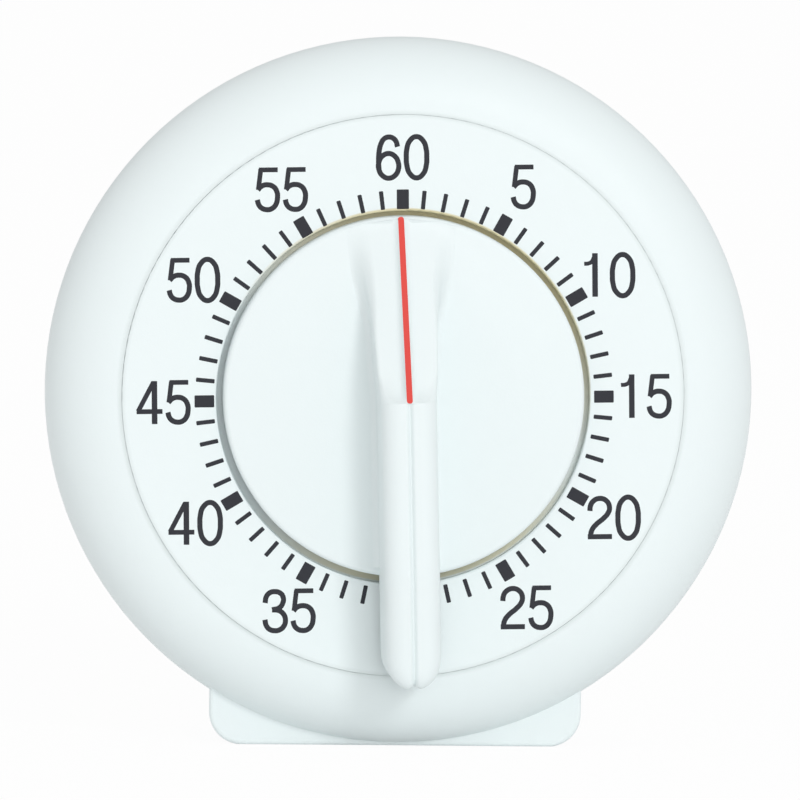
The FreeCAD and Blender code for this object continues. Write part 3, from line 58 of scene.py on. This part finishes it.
# The dial print, millimetres and degrees
PRINT_THICKNESS = 0.03
PRINT_SHIFT = (0.17, -0.50)
PRINT_TURN = -1.2
TICK_RADIUS = 30.48
LONG_TICK = (1.85, 3.0)
SHORT_TICK = (0.65, 2.85)
TICK_ROUND = 0.12
NUMERAL_RADIUS = 36.92
DIGIT_PITCH = 4.26
# How far each number stands from its even place, across and up
NUMERAL_NUDGE = {
    60: (0, -0.06), 5: (-0.05, 0.16), 10: (-0.65, 0.06), 15: (-0.1, -0.05),
    20: (-0.04, -0.09), 25: (0.08, -0.19), 30: (0.7, 0), 35: (0.7, -0.19),
    40: (0.1, -0.13), 45: (0.33, -0.11), 50: (-0.02, 0.05), 55: (0, 0.17),
}
PEN = 0.8

# The knob, millimetres and degrees. Heights start at the dial face and are negative behind it;
# starts along the grip are measured from the axis and are negative towards the grip's tip.
KNOB_TURN = -1.9
DISC_RADIUS = 27.5
DISC_TOP = 2.6
DISC_EDGE = 0.7
DISC_WALL = 2
DISC_BACK = -1.3
DISC_INSIDE = 0.6
HUB_RADIUS = 5
HUB_END = -4.4
GRIP_HALF = 4.25
GRIP_TOP = 16.0
GRIP_UNDER = 2.2
GRIP_ROUND = 2.8
SLOPE_TOP = 14.5
SLOPE_FALL = 0.452
SLOPE_ROUND = 0.6
SKIRT = 1.2
RIB_RISE = 1.45
RIB_FALL = 0.475
RIB_LEAST = 0.2
# Distance from the middle and share of the rise or depth; the two lists are as long as each other
RIB_SHAPE = [
    (0, 1), (0.47, 1), (0.51, 0.93), (0.62, 0.68), (0.8, 0.36), (1.05, 0.13), (1.3, 0.03), (1.6, 0),
]
GROOVE_DEPTH = 0.5
GROOVE_SHAPE = [
    (0, 1), (0.1, 0.95), (0.2, 0.7), (0.3, 0.45), (0.4, 0.22), (0.52, 0.06), (0.65, 0.01), (0.8, 0),
]
POINTER_SWELL = 0.2
POINTER_FLARE = 0.04
RIM_FLARE = 0.003
RIM_FLARE_START = 11
FADE_START = 9
FADE_LENGTH = 11
FADE_INSET = 1.2
FADE_WIDTH = 3.6
REACH_START = 18
BAR_FALL_START = -26
BAR_FALL = 0.06
TIP_START = -38.9
TIP_LENGTH = 5.0
TIP_DROP = 2.2
TIP_LIFT = 0.8
TIP_NOTCH = 0.75
ROOT_DEPTH = 0.3
LINE_WIDTH = 0.9
LINE_THICKNESS = 0.35
LINE_ROUND = 0.4
LINE_SINK = 0.13

# Share of light that plastic and ink mirror, and the sizes of clouds and patches in plastic
SHEEN = 0.35
CLOUD_SIZE = 14.0
PATCH_SIZE = 3.0

# Shader maths

class Value:
    """A node socket that adds Math nodes when it is used in an expression."""

    def __init__(self, finish, socket):
        self.finish = finish
        self.socket = socket

    def _math(self, operation, *numbers):
        inputs = dict(enumerate(numbers))
        return self.finish.node("ShaderNodeMath", {"operation": operation}, inputs)

    def __add__(self, other):
        return self._math("ADD", self, other)

    def __radd__(self, other):
        return self._math("ADD", other, self)

    def __sub__(self, other):
        return self._math("SUBTRACT", self, other)

    def __rsub__(self, other):
        return self._math("SUBTRACT", other, self)

    def __mul__(self, other):
        return self._math("MULTIPLY", self, other)


class Finish:
    """A material and its nodes."""

    def __init__(self, name):
        self.material = bpy.data.materials.new(name)
        self.material.use_nodes = True
        self.tree = self.material.node_tree
        self.tree.nodes.clear()
        self.output = self.tree.nodes.new("ShaderNodeOutputMaterial")

    def node(self, kind, settings=None, inputs=None, output=0):
        """Adds a node, makes its settings, then fills its sockets; returns one output."""
        made = self.tree.nodes.new(kind)
        for name, setting in (settings or {}).items():
            setattr(made, name, setting)
        for name, given in (inputs or {}).items():
            if isinstance(given, Value):
                self.tree.links.new(given.socket, made.inputs[name])
            else:
                made.inputs[name].default_value = given
        return Value(self, made.outputs[output])

    def place(self, location=(0, 0, 0), scale=(1, 1, 1)):
        """Object coordinates in metres, moved and scaled."""
        coordinates = self.node("ShaderNodeTexCoord", output="Object")
        settings = {"vector_type": "POINT"}
        inputs = {"Vector": coordinates, "Location": location, "Scale": scale}
        return self.node("ShaderNodeMapping", settings, inputs)

    def noise(self, place, size, detail=2.0, roughness=0.5):
        """Noise between 0 and 1 whose spots are about a size across, in millimetres."""
        inputs = {"Vector": place, "Scale": 1 / (size * MM), "Detail": detail, "Roughness": roughness}
        return self.node("ShaderNodeTexNoise", None, inputs)

    def mix(self, share, first, second):
        inputs = {"Factor": share, 6: first, 7: second}
        return self.node("ShaderNodeMix", {"data_type": "RGBA"}, inputs, output=2)

    def bump(self, height, depth):
        """Relief for the shader's normal, its depth in millimetres."""
        inputs = {"Height": height, "Distance": depth * MM, "Strength": 1.0}
        return self.node("ShaderNodeBump", None, inputs)

    def surface(self, **inputs):
        """The shader; an underscore in a name stands for a space."""
        named = {name.replace("_", " "): given for name, given in inputs.items()}
        shader = self.node("ShaderNodeBsdfPrincipled", None, named)
        self.tree.links.new(shader.socket, self.output.inputs["Surface"])
        return self.material


def moulded_plastic(name, colour, shade, roughness, grain=0.32, grain_depth=0.012, painted_shade=0.0):
    """Plastic from a spark-textured mould: fine grain, faint clouding and slightly uneven gloss.

    The last argument is how strong a brownish painted shade is in the dial's well round the knob, heavier on
    some sides;
    where there is some, the seam between the dial and the bezel gets a grey painted shade too.
    """
    finish = Finish(name)
    place = finish.place()
    fine = finish.noise(place, grain, 3.0, 0.6)
    cloud = finish.noise(place, CLOUD_SIZE, 3.0)
    patch = finish.noise(place, PATCH_SIZE, 2.0)
    share = cloud * 0.7 + patch * 0.3
    tone = finish.mix(share, (*colour, 1), (*shade, 1))
    if painted_shade:
        # Brownish painted shade in the well round the knob, heavier on the sides listed at the top
        from_axis = finish.place(location=(0, 0, -AXIS_Z), scale=(1, 0, 1))
        radius = finish.node("ShaderNodeVectorMath", {"operation": "LENGTH"}, {0: from_axis}, output=1)
        inside = ((WELL_RADIUS + WELL_BLEND) * MM - radius) * (1 / (WELL_BLEND * MM))
        side_shade = 0.0
        for side, start, most in SHADED_WELL_SIDES:
            slant = finish.node("ShaderNodeVectorMath", {"operation": "DOT_PRODUCT"},
                                {0: from_axis, 1: side}, output=1)
            side_shade = side_shade + finish.node("ShaderNodeMapRange", {"interpolation_type": "SMOOTHSTEP"}, {
                "Value": slant, "From Min": start * WELL_RADIUS * MM, "From Max": WELL_RADIUS * MM,
                "To Min": 0.0, "To Max": most,
            })
        held = finish.node("ShaderNodeMath", {"operation": "MINIMUM"}, {0: inside, 1: 1.0})
        tone = finish.mix(held * side_shade * painted_shade, tone, WELL_SHADE_COLOUR)
        # Painted shade along the seam between the dial and the bezel
        off_seam = radius - SEAM_RADIUS * MM
        from_seam = finish.node("ShaderNodeMath", {"operation": "ABSOLUTE"}, {0: off_seam})
        seam_shade = finish.node("ShaderNodeMapRange", {"interpolation_type": "SMOOTHSTEP"}, {
            "Value": from_seam, "From Min": 0.0, "From Max": SEAM_REACH * MM, "To Min": 1.0, "To Max": 0.0,
        })
        tone = finish.mix(seam_shade, tone, SEAM_SHADE_COLOUR)
    gloss = roughness + (patch - 0.5) * 0.12
    return finish.surface(
        Base_Color=tone,
        Roughness=gloss,
        Normal=finish.bump(fine, grain_depth),
        Specular_IOR_Level=SHEEN,
    )


def printed_ink(name, colour, shade):
    """Thin matt print that lets a little of the grain show."""
    finish = Finish(name)
    place = finish.place()
    speck = finish.noise(place, 0.25, 3.0, 0.7)
    tone = finish.mix(speck, (*colour, 1), (*shade, 1))
    return finish.surface(
        Base_Color=tone,
        Roughness=0.5 + speck * 0.2,
        Normal=finish.bump(speck, 0.006),
        Specular_IOR_Level=SHEEN,
    )


def rolled_metal(name, colour, shade, roughness, along=(1, 1, 14)):
    """Sheet metal with drawn-out rolling marks and a faint cloudy tarnish."""
    finish = Finish(name)
    marks = finish.noise(finish.place(scale=along), 1.6, 4.0, 0.7)
    cloud = finish.noise(finish.place(), 7.0, 3.0)
    tone = finish.mix(cloud * 0.6 + marks * 0.4, (*colour, 1), (*shade, 1))
    return finish.surface(
        Base_Color=tone,
        Metallic=1.0,
        Roughness=roughness + (marks - 0.5) * 0.2,
        Normal=finish.bump(marks, 0.01),
    )


def turned_metal(name, colour, shade, roughness):
    """Bar stock with fine tool marks round the turning axis."""
    finish = Finish(name)
    rings = finish.noise(finish.place(scale=(0.15, 6, 0.15)), 0.7, 3.0, 0.6)
    cloud = finish.noise(finish.place(), 3.0, 2.0)
    tone = finish.mix(rings * 0.5 + cloud * 0.5, (*colour, 1), (*shade, 1))
    return finish.surface(
        Base_Color=tone,
        Metallic=1.0,
        Roughness=roughness + (rings - 0.5) * 0.15,
        Normal=finish.bump(rings, 0.008),
    )


# Shapes

def point(x, depth, z):
    """A place in millimetres from the dial's axis, its depth measured back from the dial face."""
    return Vector((x * MM, DIAL_Y + depth * MM, AXIS_Z + z * MM))


def arc_points(centre, radius, start, end, count):
    """Points along an arc in any plane pair, angles in degrees."""
    steps = [math.radians(start + (end - start) * i / (count - 1)) for i in range(count)]
    return [(centre[0] + radius * math.cos(a), centre[1] + radius * math.sin(a)) for a in steps]


def finished_piece(name, bm, material, body, smooth_angle=35):
    """Turns a bmesh into a riding piece with closed, outward faces."""
    bmesh.ops.remove_doubles(bm, verts=bm.verts, dist=0.0005 * MM)
    bmesh.ops.recalc_face_normals(bm, faces=bm.faces)
    sharp = math.radians(smooth_angle)
    for face in bm.faces:
        face.smooth = True
    for edge in bm.edges:
        edge.smooth = len(edge.link_faces) == 2 and edge.calc_face_angle(0) < sharp
    mesh = bpy.data.meshes.new(name)
    bm.to_mesh(mesh)
    bm.free()
    mesh.materials.append(material)
    piece = bpy.data.objects.new(name, mesh)
    bpy.context.collection.objects.link(piece)
    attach(piece, body)
    return piece


def spun(bm, profile, segments=192):
    """Spins a closed (radius, depth) profile round the dial's axis."""
    verts = [bm.verts.new(point(radius, depth, 0)) for radius, depth in profile]
    edges = [bm.edges.new(pair) for pair in zip(verts, verts[1:])]
    bmesh.ops.spin(
        bm,
        geom=verts + edges,
        cent=point(0, 0, 0),
        axis=(0, 1, 0),
        angle=2 * math.pi,
        steps=segments,
        use_merge=True,
    )


def knob_disc(bm):
    """Disc with a rounded edge, hollow behind, and the hub that sits on the arbor."""
    wall = DISC_RADIUS - DISC_WALL
    rim = arc_points((DISC_RADIUS - DISC_EDGE, DISC_EDGE - DISC_TOP), DISC_EDGE, -90, 0, 8)
    back = [
        (DISC_RADIUS, -DISC_BACK), (wall, -DISC_BACK), (wall, -DISC_INSIDE),
        (HUB_RADIUS, -DISC_INSIDE), (HUB_RADIUS, -HUB_END), (0, -HUB_END),
    ]
    spun(bm, [(0, -DISC_TOP), *rim, *back])


def soft_step(share):
    """Share from 0 to 1 with level ends."""
    share = min(max(share, 0), 1)
    return share * share * (3 - 2 * share)


def pointer_half(z):
    """Half width of the pointer, which flares towards the rim."""
    swell = POINTER_SWELL * soft_step(z / 5)
    return GRIP_HALF + swell + POINTER_FLARE * z + RIM_FLARE * max(z - RIM_FLARE_START, 0) ** 2


def crest(z):
    """Height of the rib under the red line."""
    return max(SLOPE_TOP + RIB_RISE - RIB_FALL * z, DISC_TOP + RIB_LEAST)


def station(z):
    """Half width, height of the top, underside, skirt and rounding at one place along the grip."""
    if z > 0:
        top = max(SLOPE_TOP - SLOPE_FALL * z, DISC_TOP + 0.05)
        top += (GRIP_TOP - SLOPE_TOP) * max(1 - z / 2, 0) ** 2
        rounding = SLOPE_ROUND + (GRIP_ROUND - SLOPE_ROUND) * max(1 - z / 4, 0)
        return pointer_half(z), top, DISC_TOP, min(SKIRT, 0.5 * (top - DISC_TOP)), rounding
    if z > BAR_FALL_START:
        return GRIP_HALF, GRIP_TOP, DISC_TOP, SKIRT, GRIP_ROUND
    fall = BAR_FALL * (BAR_FALL_START - z)
    if z > TIP_START:
        return GRIP_HALF, GRIP_TOP - fall, GRIP_UNDER, 0.05, GRIP_ROUND
    share = min((TIP_START - z) / TIP_LENGTH, 0.998)
    half = GRIP_HALF * math.sqrt(1 - share * share)
    drop = TIP_DROP * (1 - math.sqrt(1 - share ** 4))
    lift = TIP_LIFT * (1 - math.sqrt(1 - share ** 6))
    return half, GRIP_TOP - fall - drop, GRIP_UNDER + lift, 0.05, GRIP_ROUND


def grip_section(z):
    """Half outline (x, height) of the grip from its middle to the edge of its skirt."""
    half, top, under, skirt, rounding = station(z)
    rounding = min(rounding, (top - under) * 0.6, half * 0.66)
    skirt = max(min(skirt, top - under - rounding - 0.02), 0.02)
    start = 90
    ceiling = top
    if z > 0:
        step = GRIP_TOP - SLOPE_TOP
        ceiling = top + step * (max(1 - z / 4, 0) ** 2 - max(1 - z / 2, 0) ** 2)
        start = math.degrees(math.asin(1 - (ceiling - top) / rounding))
        rise = crest(z) - top
        inner = [(x, rise * share) for x, share in RIB_SHAPE]
    else:
        narrow = min(1, half / GRIP_HALF * 1.5)
        inner = [(x * narrow, -GROOVE_DEPTH * dip) for x, dip in GROOVE_SHAPE]
    side = arc_points((half - rounding, ceiling - rounding), rounding, start, 0, 9)
    side.append((half + 0.01, (ceiling - rounding + under + skirt) / 2))
    side += arc_points((half + skirt, under + skirt - 0.01), skirt, 180, 270, 9)
    soft = soft_step((z - FADE_START) / FADE_LENGTH)
    for i, (x, height) in enumerate(side):
        share = i / (len(side) - 1)
        easy = (half - FADE_INSET + FADE_WIDTH * share, top - (top - under + 0.01) * soft_step(share))
        side[i] = (x + (easy[0] - x) * soft, height + (easy[1] - height) * soft)
    root = (side[-1][0], under - ROOT_DEPTH)
    return [(x, top + rise) for x, rise in inner] + side + [root]


def grip_reach(x, z):
    """Place along the grip: the pointer ends on the disc's round, the tip in two lobes."""
    if z > REACH_START:
        sagitta = DISC_RADIUS - math.sqrt(DISC_RADIUS ** 2 - x * x)
        return z - sagitta * (z - REACH_START) / (DISC_RADIUS - REACH_START)
    share = max((TIP_START - z) / TIP_LENGTH, 0)
    return z + TIP_NOTCH * share ** 4 * max(1 - abs(x), 0)


def grip_places():
    """Places along the grip, closer together where its shape changes."""
    places = [27.1, 26.95, 26.6]
    places += [25.5 - 1.5 * i for i in range(14)]
    places += [5.4, 4.7, 4.0, 3.4, 2.8, 2.2, 1.6, 1.1, 0.7, 0.35, 0.01, -0.2, -1.0]
    places += [-4.0 - 4.0 * i for i in range(6)]
    places += [-25.2, -25.9, -26.1, -26.6, -28.0, -31.0, -34.0, -37.0]
    places += [TIP_START - TIP_LENGTH * math.sin(math.radians(6 * i)) for i in range(15)]
    places += [TIP_START - TIP_LENGTH * 0.998]
    return places


def grip(bm):
    """Grip bar and pointer, drawn out from the rim to the tip."""
    ring = None
    for z in grip_places():
        section = grip_section(z)
        outline = [(-x, height) for x, height in reversed(section[1:])] + section
        places = [point(x, -height, grip_reach(x, z)) for x, height in outline]
        if ring is None:
            ring = [bm.verts.new(place) for place in places]
            for i, vert in enumerate(ring):
                bm.edges.new((ring[i - 1], vert))
            bm.faces.new(ring)
            continue
        edges = [bm.edges.get((ring[i - 1], ring[i])) for i in range(len(ring))]
        made = bmesh.ops.extrude_edge_only(bm, edges=edges)["geom"]
        fresh = {item for item in made if isinstance(item, bmesh.types.BMVert)}
        ring = [next(e.other_vert(v) for e in v.link_edges if e.other_vert(v) in fresh) for v in ring]
        for vert, place in zip(ring, places):
            vert.co = place
    bm.faces.new(ring)


def turn_with_knob(bm):
    """Turns a shape round the dial's axis to where the knob stands."""
    turn = Matrix.Rotation(math.radians(KNOB_TURN), 3, "Y")
    bmesh.ops.rotate(bm, cent=point(0, 0, 0), matrix=turn, verts=bm.verts)


def build_knob(material):
    bm = bmesh.new()
    grip(bm)
    knob_disc(bm)
    turn_with_knob(bm)
    piece = finished_piece("knob_body", bm, material, "knob_and_main_wheel", 40)
    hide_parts("knob")


def build_pointer_line(material):
    """Red line along the crest of the pointer, with rounded ends."""
    bm = bmesh.new()
    size = Matrix.Diagonal((LINE_WIDTH * MM, LINE_THICKNESS * MM, DISC_RADIUS * MM, 1))
    bmesh.ops.create_cube(bm, size=1, matrix=size)
    upright = [e for e in bm.edges if abs(e.verts[0].co.y - e.verts[1].co.y) > LINE_THICKNESS / 2 * MM]
    bmesh.ops.bevel(
        bm, geom=upright, offset=LINE_ROUND * MM, segments=6, profile=0.5, affect="EDGES", material=-1,
    )
    for vert in bm.verts:
        z = vert.co.z / MM + DISC_RADIUS / 2
        vert.co += point(0, LINE_SINK - crest(z), z) - Vector((0, 0, vert.co.z))
    turn_with_knob(bm)
    piece = finished_piece("pointer_line", bm, material, "knob_and_main_wheel")
    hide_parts("pointer_inlay")


# Strokes of the digits: closed or open middle lines in millimetres from the digit's middle
DIGITS = {
    "0": [(True, PEN, [(0, 3.15), (1.02, 2.5), (1.5, 1.1), (1.56, 0), (1.5, -1.1), (1.02, -2.5),
                       (0, -3.15), (-1.02, -2.5), (-1.5, -1.1), (-1.56, 0), (-1.5, 1.1), (-1.02, 2.5)])],
    "1": [(False, 0.86, [(0.05, 3.4), (0.05, -3.25)]),
          (False, 0.62, [(-1.6, 1.8), (-0.95, 1.84), (-0.45, 2.1), (-0.12, 2.75)])],
    "2": [(False, PEN, [(-1.57, 1.1), (-1.5, 1.8), (-1.1, 2.55), (-0.05, 3.0), (1.0, 2.58), (1.43, 1.6),
                        (1.2, 0.75), (0.45, -0.1), (-0.6, -0.95), (-1.3, -1.85), (-1.52, -2.9)]),
          (False, 0.78, [(-1.92, -2.85), (1.78, -2.85)])],
    "3": [(False, PEN, [(-1.55, 1.25), (-1.4, 2.15), (-0.85, 2.8), (-0.1, 2.98), (0.75, 2.75),
                        (1.2, 2.1), (1.15, 1.25), (0.6, 0.5), (-0.5, 0.2)]),
          (False, PEN, [(-0.5, 0.2), (0.5, 0.08), (1.25, -0.5), (1.52, -1.4), (1.25, -2.35), (0.6, -2.88),
                        (-0.1, -3.0), (-0.95, -2.75), (-1.45, -2.1), (-1.6, -1.3)])],
    "4": [(False, 0.86, [(0.64, -3.27), (0.64, 3.3)]),
          (False, 0.74, [(-2.1, -1.36), (1.85, -1.36)]),
          (False, 0.74, [(-1.86, -1.3), (0.5, 3.1)])],
    "5": [(False, 0.74, [(-1.3, 3.05), (1.55, 3.05)]),
          (False, 0.74, [(-1.02, 3.2), (-1.42, 0.0)]),
          (False, PEN, [(-1.5, 0.0), (-0.95, 0.55), (-0.1, 0.78), (0.85, 0.5), (1.4, -0.3), (1.48, -1.3),
                        (1.2, -2.3), (0.6, -2.88), (-0.1, -3.02), (-0.95, -2.75), (-1.4, -2.2),
                        (-1.58, -1.5)])],
    "6": [(True, PEN, [(0, 0.62), (0.95, 0.2), (1.47, -0.75), (1.47, -1.85), (0.95, -2.75), (0, -3.15),
                       (-0.95, -2.75), (-1.47, -1.85), (-1.5, -0.75), (-0.98, 0.2)]),
          (False, PEN, [(1.37, 1.62), (1.15, 2.45), (0.7, 2.95), (0.05, 3.13), (-0.65, 2.88), (-1.15, 2.1),
                        (-1.45, 0.8), (-1.53, -0.7), (-1.47, -1.85)])],
}


def tick(bm, angle, size):
    """One printed mark, its long side towards the print's middle."""
    made = bmesh.ops.create_cube(bm, size=1)["verts"]
    width, length = size
    bmesh.ops.scale(bm, vec=(width * MM, PRINT_THICKNESS * MM, length * MM), verts=made)
    upright = {e for v in made for e in v.link_edges if abs(e.verts[0].co.y - e.verts[1].co.y) > 0}
    made = bmesh.ops.bevel(
        bm, geom=list(upright), offset=TICK_ROUND * MM, segments=2, profile=0.5, affect="EDGES", material=-1,
    )["verts"]
    made = list({v for corner in made for face in corner.link_faces for v in face.verts})
    place = Matrix.Rotation(math.radians(angle), 4, "Y") @ Matrix.Translation((0, 0, TICK_RADIUS * MM))
    bmesh.ops.transform(bm, matrix=place, verts=made)


def stroke_mesh(closed, width, places):
    """A stroke of the pen in millimetres, flat in the XY plane, as a mesh."""
    line = bpy.data.curves.new("stroke", "CURVE")
    line.dimensions = "3D"
    line.bevel_depth = width / 2
    line.bevel_resolution = 1
    line.use_fill_caps = True
    line.resolution_u = 6
    spline = line.splines.new("BEZIER")
    spline.bezier_points.add(len(places) - 1)
    for knot, (x, y) in zip(spline.bezier_points, places):
        knot.co = (x, y, 0)
        knot.handle_left_type = knot.handle_right_type = "AUTO"
    spline.use_cyclic_u = closed
    holder = bpy.data.objects.new("stroke", line)
    bpy.context.collection.objects.link(holder)
    mesh = bpy.data.meshes.new_from_object(holder)
    bpy.data.objects.remove(holder)
    return mesh


def numeral(bm, minutes, angle):
    """One printed number, upright at its place on the ring.

    Each further stroke of a digit is a little thicker, so that no two fronts share a plane.
    """
    digits = str(minutes)
    turn = math.radians(angle)
    across, up = NUMERAL_NUDGE[minutes]
    x = NUMERAL_RADIUS * math.sin(turn) + across
    z = NUMERAL_RADIUS * math.cos(turn) + up
    stand = Matrix.Rotation(math.radians(90), 4, "X")
    for i, digit in enumerate(digits):
        across = (i - (len(digits) - 1) / 2) * DIGIT_PITCH
        for layer, (closed, width, places) in enumerate(DIGITS[digit], start=2):
            flat = Matrix.Diagonal((MM, MM, PRINT_THICKNESS / PEN * layer / 2 * MM, 1))
            mesh = stroke_mesh(closed, width, places)
            mesh.transform(Matrix.Translation(((x + across) * MM, 0, z * MM)) @ stand @ flat)
            bm.from_mesh(mesh)
            bpy.data.meshes.remove(mesh)


def print_dial(material):
    bm = bmesh.new()
    for minute in range(60):
        if minute % 5:
            tick(bm, 6 * minute, SHORT_TICK)
        else:
            tick(bm, 6 * minute, LONG_TICK)
            numeral(bm, minute or 60, 6 * minute)
    turn = Matrix.Rotation(math.radians(PRINT_TURN), 4, "Y")
    place = Matrix.Translation(point(PRINT_SHIFT[0], 0, PRINT_SHIFT[1]))
    bmesh.ops.transform(bm, matrix=place @ turn, verts=bm.verts)
    finished_piece("dial_print", bm, material, "case")


# Materials

white = moulded_plastic("white_moulding", (0.80, 0.87, 0.876), (0.79, 0.855, 0.860), 0.48)
# The bezel and the dial carry painted shade in the well round the knob and along their seam
web_white = moulded_plastic("bezel_moulding", (0.80, 0.87, 0.876), (0.79, 0.855, 0.860), 0.48, painted_shade=0.9)
dial_white = moulded_plastic("dial_moulding", (0.81, 0.88, 0.885), (0.80, 0.865, 0.870), 0.5, painted_shade=0.9)
red = moulded_plastic("red_moulding", (0.77, 0.072, 0.058), (0.69, 0.06, 0.048), 0.42, 0.25, 0.008)
ink = printed_ink("dial_ink", (0.016, 0.017, 0.024), (0.024, 0.025, 0.034))
zinc = rolled_metal("zinc_plate", (0.62, 0.62, 0.59), (0.50, 0.51, 0.50), 0.38)
brass = rolled_metal("stamped_brass", (0.78, 0.58, 0.25), (0.66, 0.46, 0.19), 0.32)
blued = rolled_metal("blued_strip", (0.16, 0.19, 0.27), (0.24, 0.20, 0.17), 0.34)
nickel = rolled_metal("nickel_bell", (0.70, 0.68, 0.64), (0.62, 0.60, 0.56), 0.2, (1, 8, 1))
steel = turned_metal("turned_steel", (0.56, 0.56, 0.56), (0.44, 0.44, 0.45), 0.3)
screw = turned_metal("screw_steel", (0.58, 0.57, 0.53), (0.44, 0.44, 0.42), 0.36)

FINISHES = {
    white: ["rear_case", "knob"],
    web_white: ["front_case"],
    dial_white: ["dial_plate"],
    red: ["pointer_inlay"],
    zinc: ["front_plate", "rear_plate", "trip_cam", "pallet_anchor", "release_lever", "hammer_tail",
           "bell_hammer", "bell_washer"],
    brass: ["main_wheel", "second_wheel", "third_wheel", "strike_wheel", "escape_wheel", "balance_bar"],
    blued: ["click_spring", "mainspring", "release_spring", "hammer_spring"],
    nickel: ["bell"],
    steel: ["plate_pillars", "main_arbor", "ratchet_wheel", "click", "click_rivet", "second_pinion",
            "third_pinion", "escape_pinion", "pallet_arbor", "release_stud", "hammer_arbor"],
    screw: ["case_screws", "pillar_nuts", "movement_screws", "bell_screw"],
}

for material, names in FINISHES.items():
    for name in names:
        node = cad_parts[name]
        node.data.materials.clear()
        node.data.materials.append(material)

build_knob(white)
build_pointer_line(red)
print_dial(ink)


# Floor, light and camera

FLOOR_HALF = 8
SEEN_WHITE_SHARE = 0.95


def white_floor():
    """Pale floor that the camera sees nearly white, with a little of the object's shadow on it."""
    finish = Finish("floor_white")
    place = finish.place()
    cloud = finish.noise(place, 120.0, 2.0)
    tone = finish.mix(cloud, (0.95, 0.95, 0.95, 1), (0.93, 0.93, 0.93, 1))
    seen = finish.node("ShaderNodeBsdfDiffuse", None, {"Color": tone})
    bright = finish.node("ShaderNodeEmission", None, {"Color": (1, 1, 1, 1), "Strength": 1.0})
    path = finish.node("ShaderNodeLightPath", output="Is Camera Ray")
    glossy = finish.node("ShaderNodeLightPath", output="Is Glossy Ray")
    through = finish.node("ShaderNodeLightPath", output="Is Transmission Ray")
    share = (path + glossy + through) * SEEN_WHITE_SHARE
    mixed = finish.node("ShaderNodeMixShader", None, {0: share, 1: seen, 2: bright})
    finish.tree.links.new(mixed.socket, finish.output.inputs["Surface"])
    bm = bmesh.new()
    bmesh.ops.create_grid(bm, x_segments=2, y_segments=2, size=FLOOR_HALF)
    mesh = bpy.data.meshes.new("floor")
    bm.to_mesh(mesh)
    bm.free()
    mesh.materials.append(finish.material)
    floor = bpy.data.objects.new("floor", mesh)
    bpy.context.collection.objects.link(floor)


def studio_world(light):
    world = bpy.data.worlds.new("studio")
    world.use_nodes = True
    tree = world.node_tree
    tree.nodes.clear()
    path = tree.nodes.new("ShaderNodeLightPath")
    seen = tree.nodes.new("ShaderNodeMath")
    seen.operation = "ADD"
    seen.use_clamp = True
    soft = tree.nodes.new("ShaderNodeBackground")
    soft.inputs["Strength"].default_value = light
    back = tree.nodes.new("ShaderNodeBackground")
    back.inputs["Strength"].default_value = 1.0
    for background in (soft, back):
        background.inputs["Color"].default_value = (1, 1, 1, 1)
    mixed = tree.nodes.new("ShaderNodeMixShader")
    output = tree.nodes.new("ShaderNodeOutputWorld")
    tree.links.new(path.outputs["Is Camera Ray"], seen.inputs[0])
    tree.links.new(path.outputs["Is Transmission Ray"], seen.inputs[1])
    tree.links.new(seen.outputs[0], mixed.inputs[0])
    tree.links.new(soft.outputs[0], mixed.inputs[1])
    tree.links.new(back.outputs[0], mixed.inputs[2])
    tree.links.new(mixed.outputs[0], output.inputs["Surface"])
    bpy.context.scene.world = world


def soft_box(name, place, aim, size, power):
    lamp = bpy.data.lights.new(name, "AREA")
    lamp.shape = "DISK"
    lamp.size = size
    lamp.energy = power
    holder = bpy.data.objects.new(name, lamp)
    holder.location = place
    holder.rotation_euler = (Vector(aim) - Vector(place)).to_track_quat("-Z", "Y").to_euler()
    bpy.context.collection.objects.link(holder)


white_floor()
studio_world(0.705)
middle = (0, 0, AXIS_Z)
soft_box("key", (1.25, -3.45, 1.66), middle, 0.93, 34.0)
soft_box("fill", (0.602, -3.939, 0.401), middle, 2.0, 31.0)
soft_box("side", (-3.375, -2.0, 0.833), middle, 2.0, 6.0)

# The camera stands to the left of the axis and a little above it, and leans a little
DISTANCE = 3.5
SIDE, RISE, LEAN = math.radians(3.75), math.radians(4.3), math.radians(0.8)
PIXELS_PER_MM = 6.548
aim = point(0.22, 10.6, -1.46)
away = Vector((-math.sin(SIDE) * math.cos(RISE), -math.cos(SIDE) * math.cos(RISE), math.sin(RISE)))
view = bpy.data.cameras.new("view")
view.sensor_width = 36
view.lens = 36 * DISTANCE / (800 / PIXELS_PER_MM * MM)
view.clip_start = 0.05
view.clip_end = 40
camera = bpy.data.objects.new("view", view)
camera.location = aim + away * DISTANCE
lean = Quaternion((0, 0, 1), LEAN)
camera.rotation_euler = ((-away).to_track_quat("-Z", "Y") @ lean).to_euler()
bpy.context.collection.objects.link(camera)
bpy.context.scene.camera = camera

bpy.context.scene.view_settings.view_transform = "Standard"
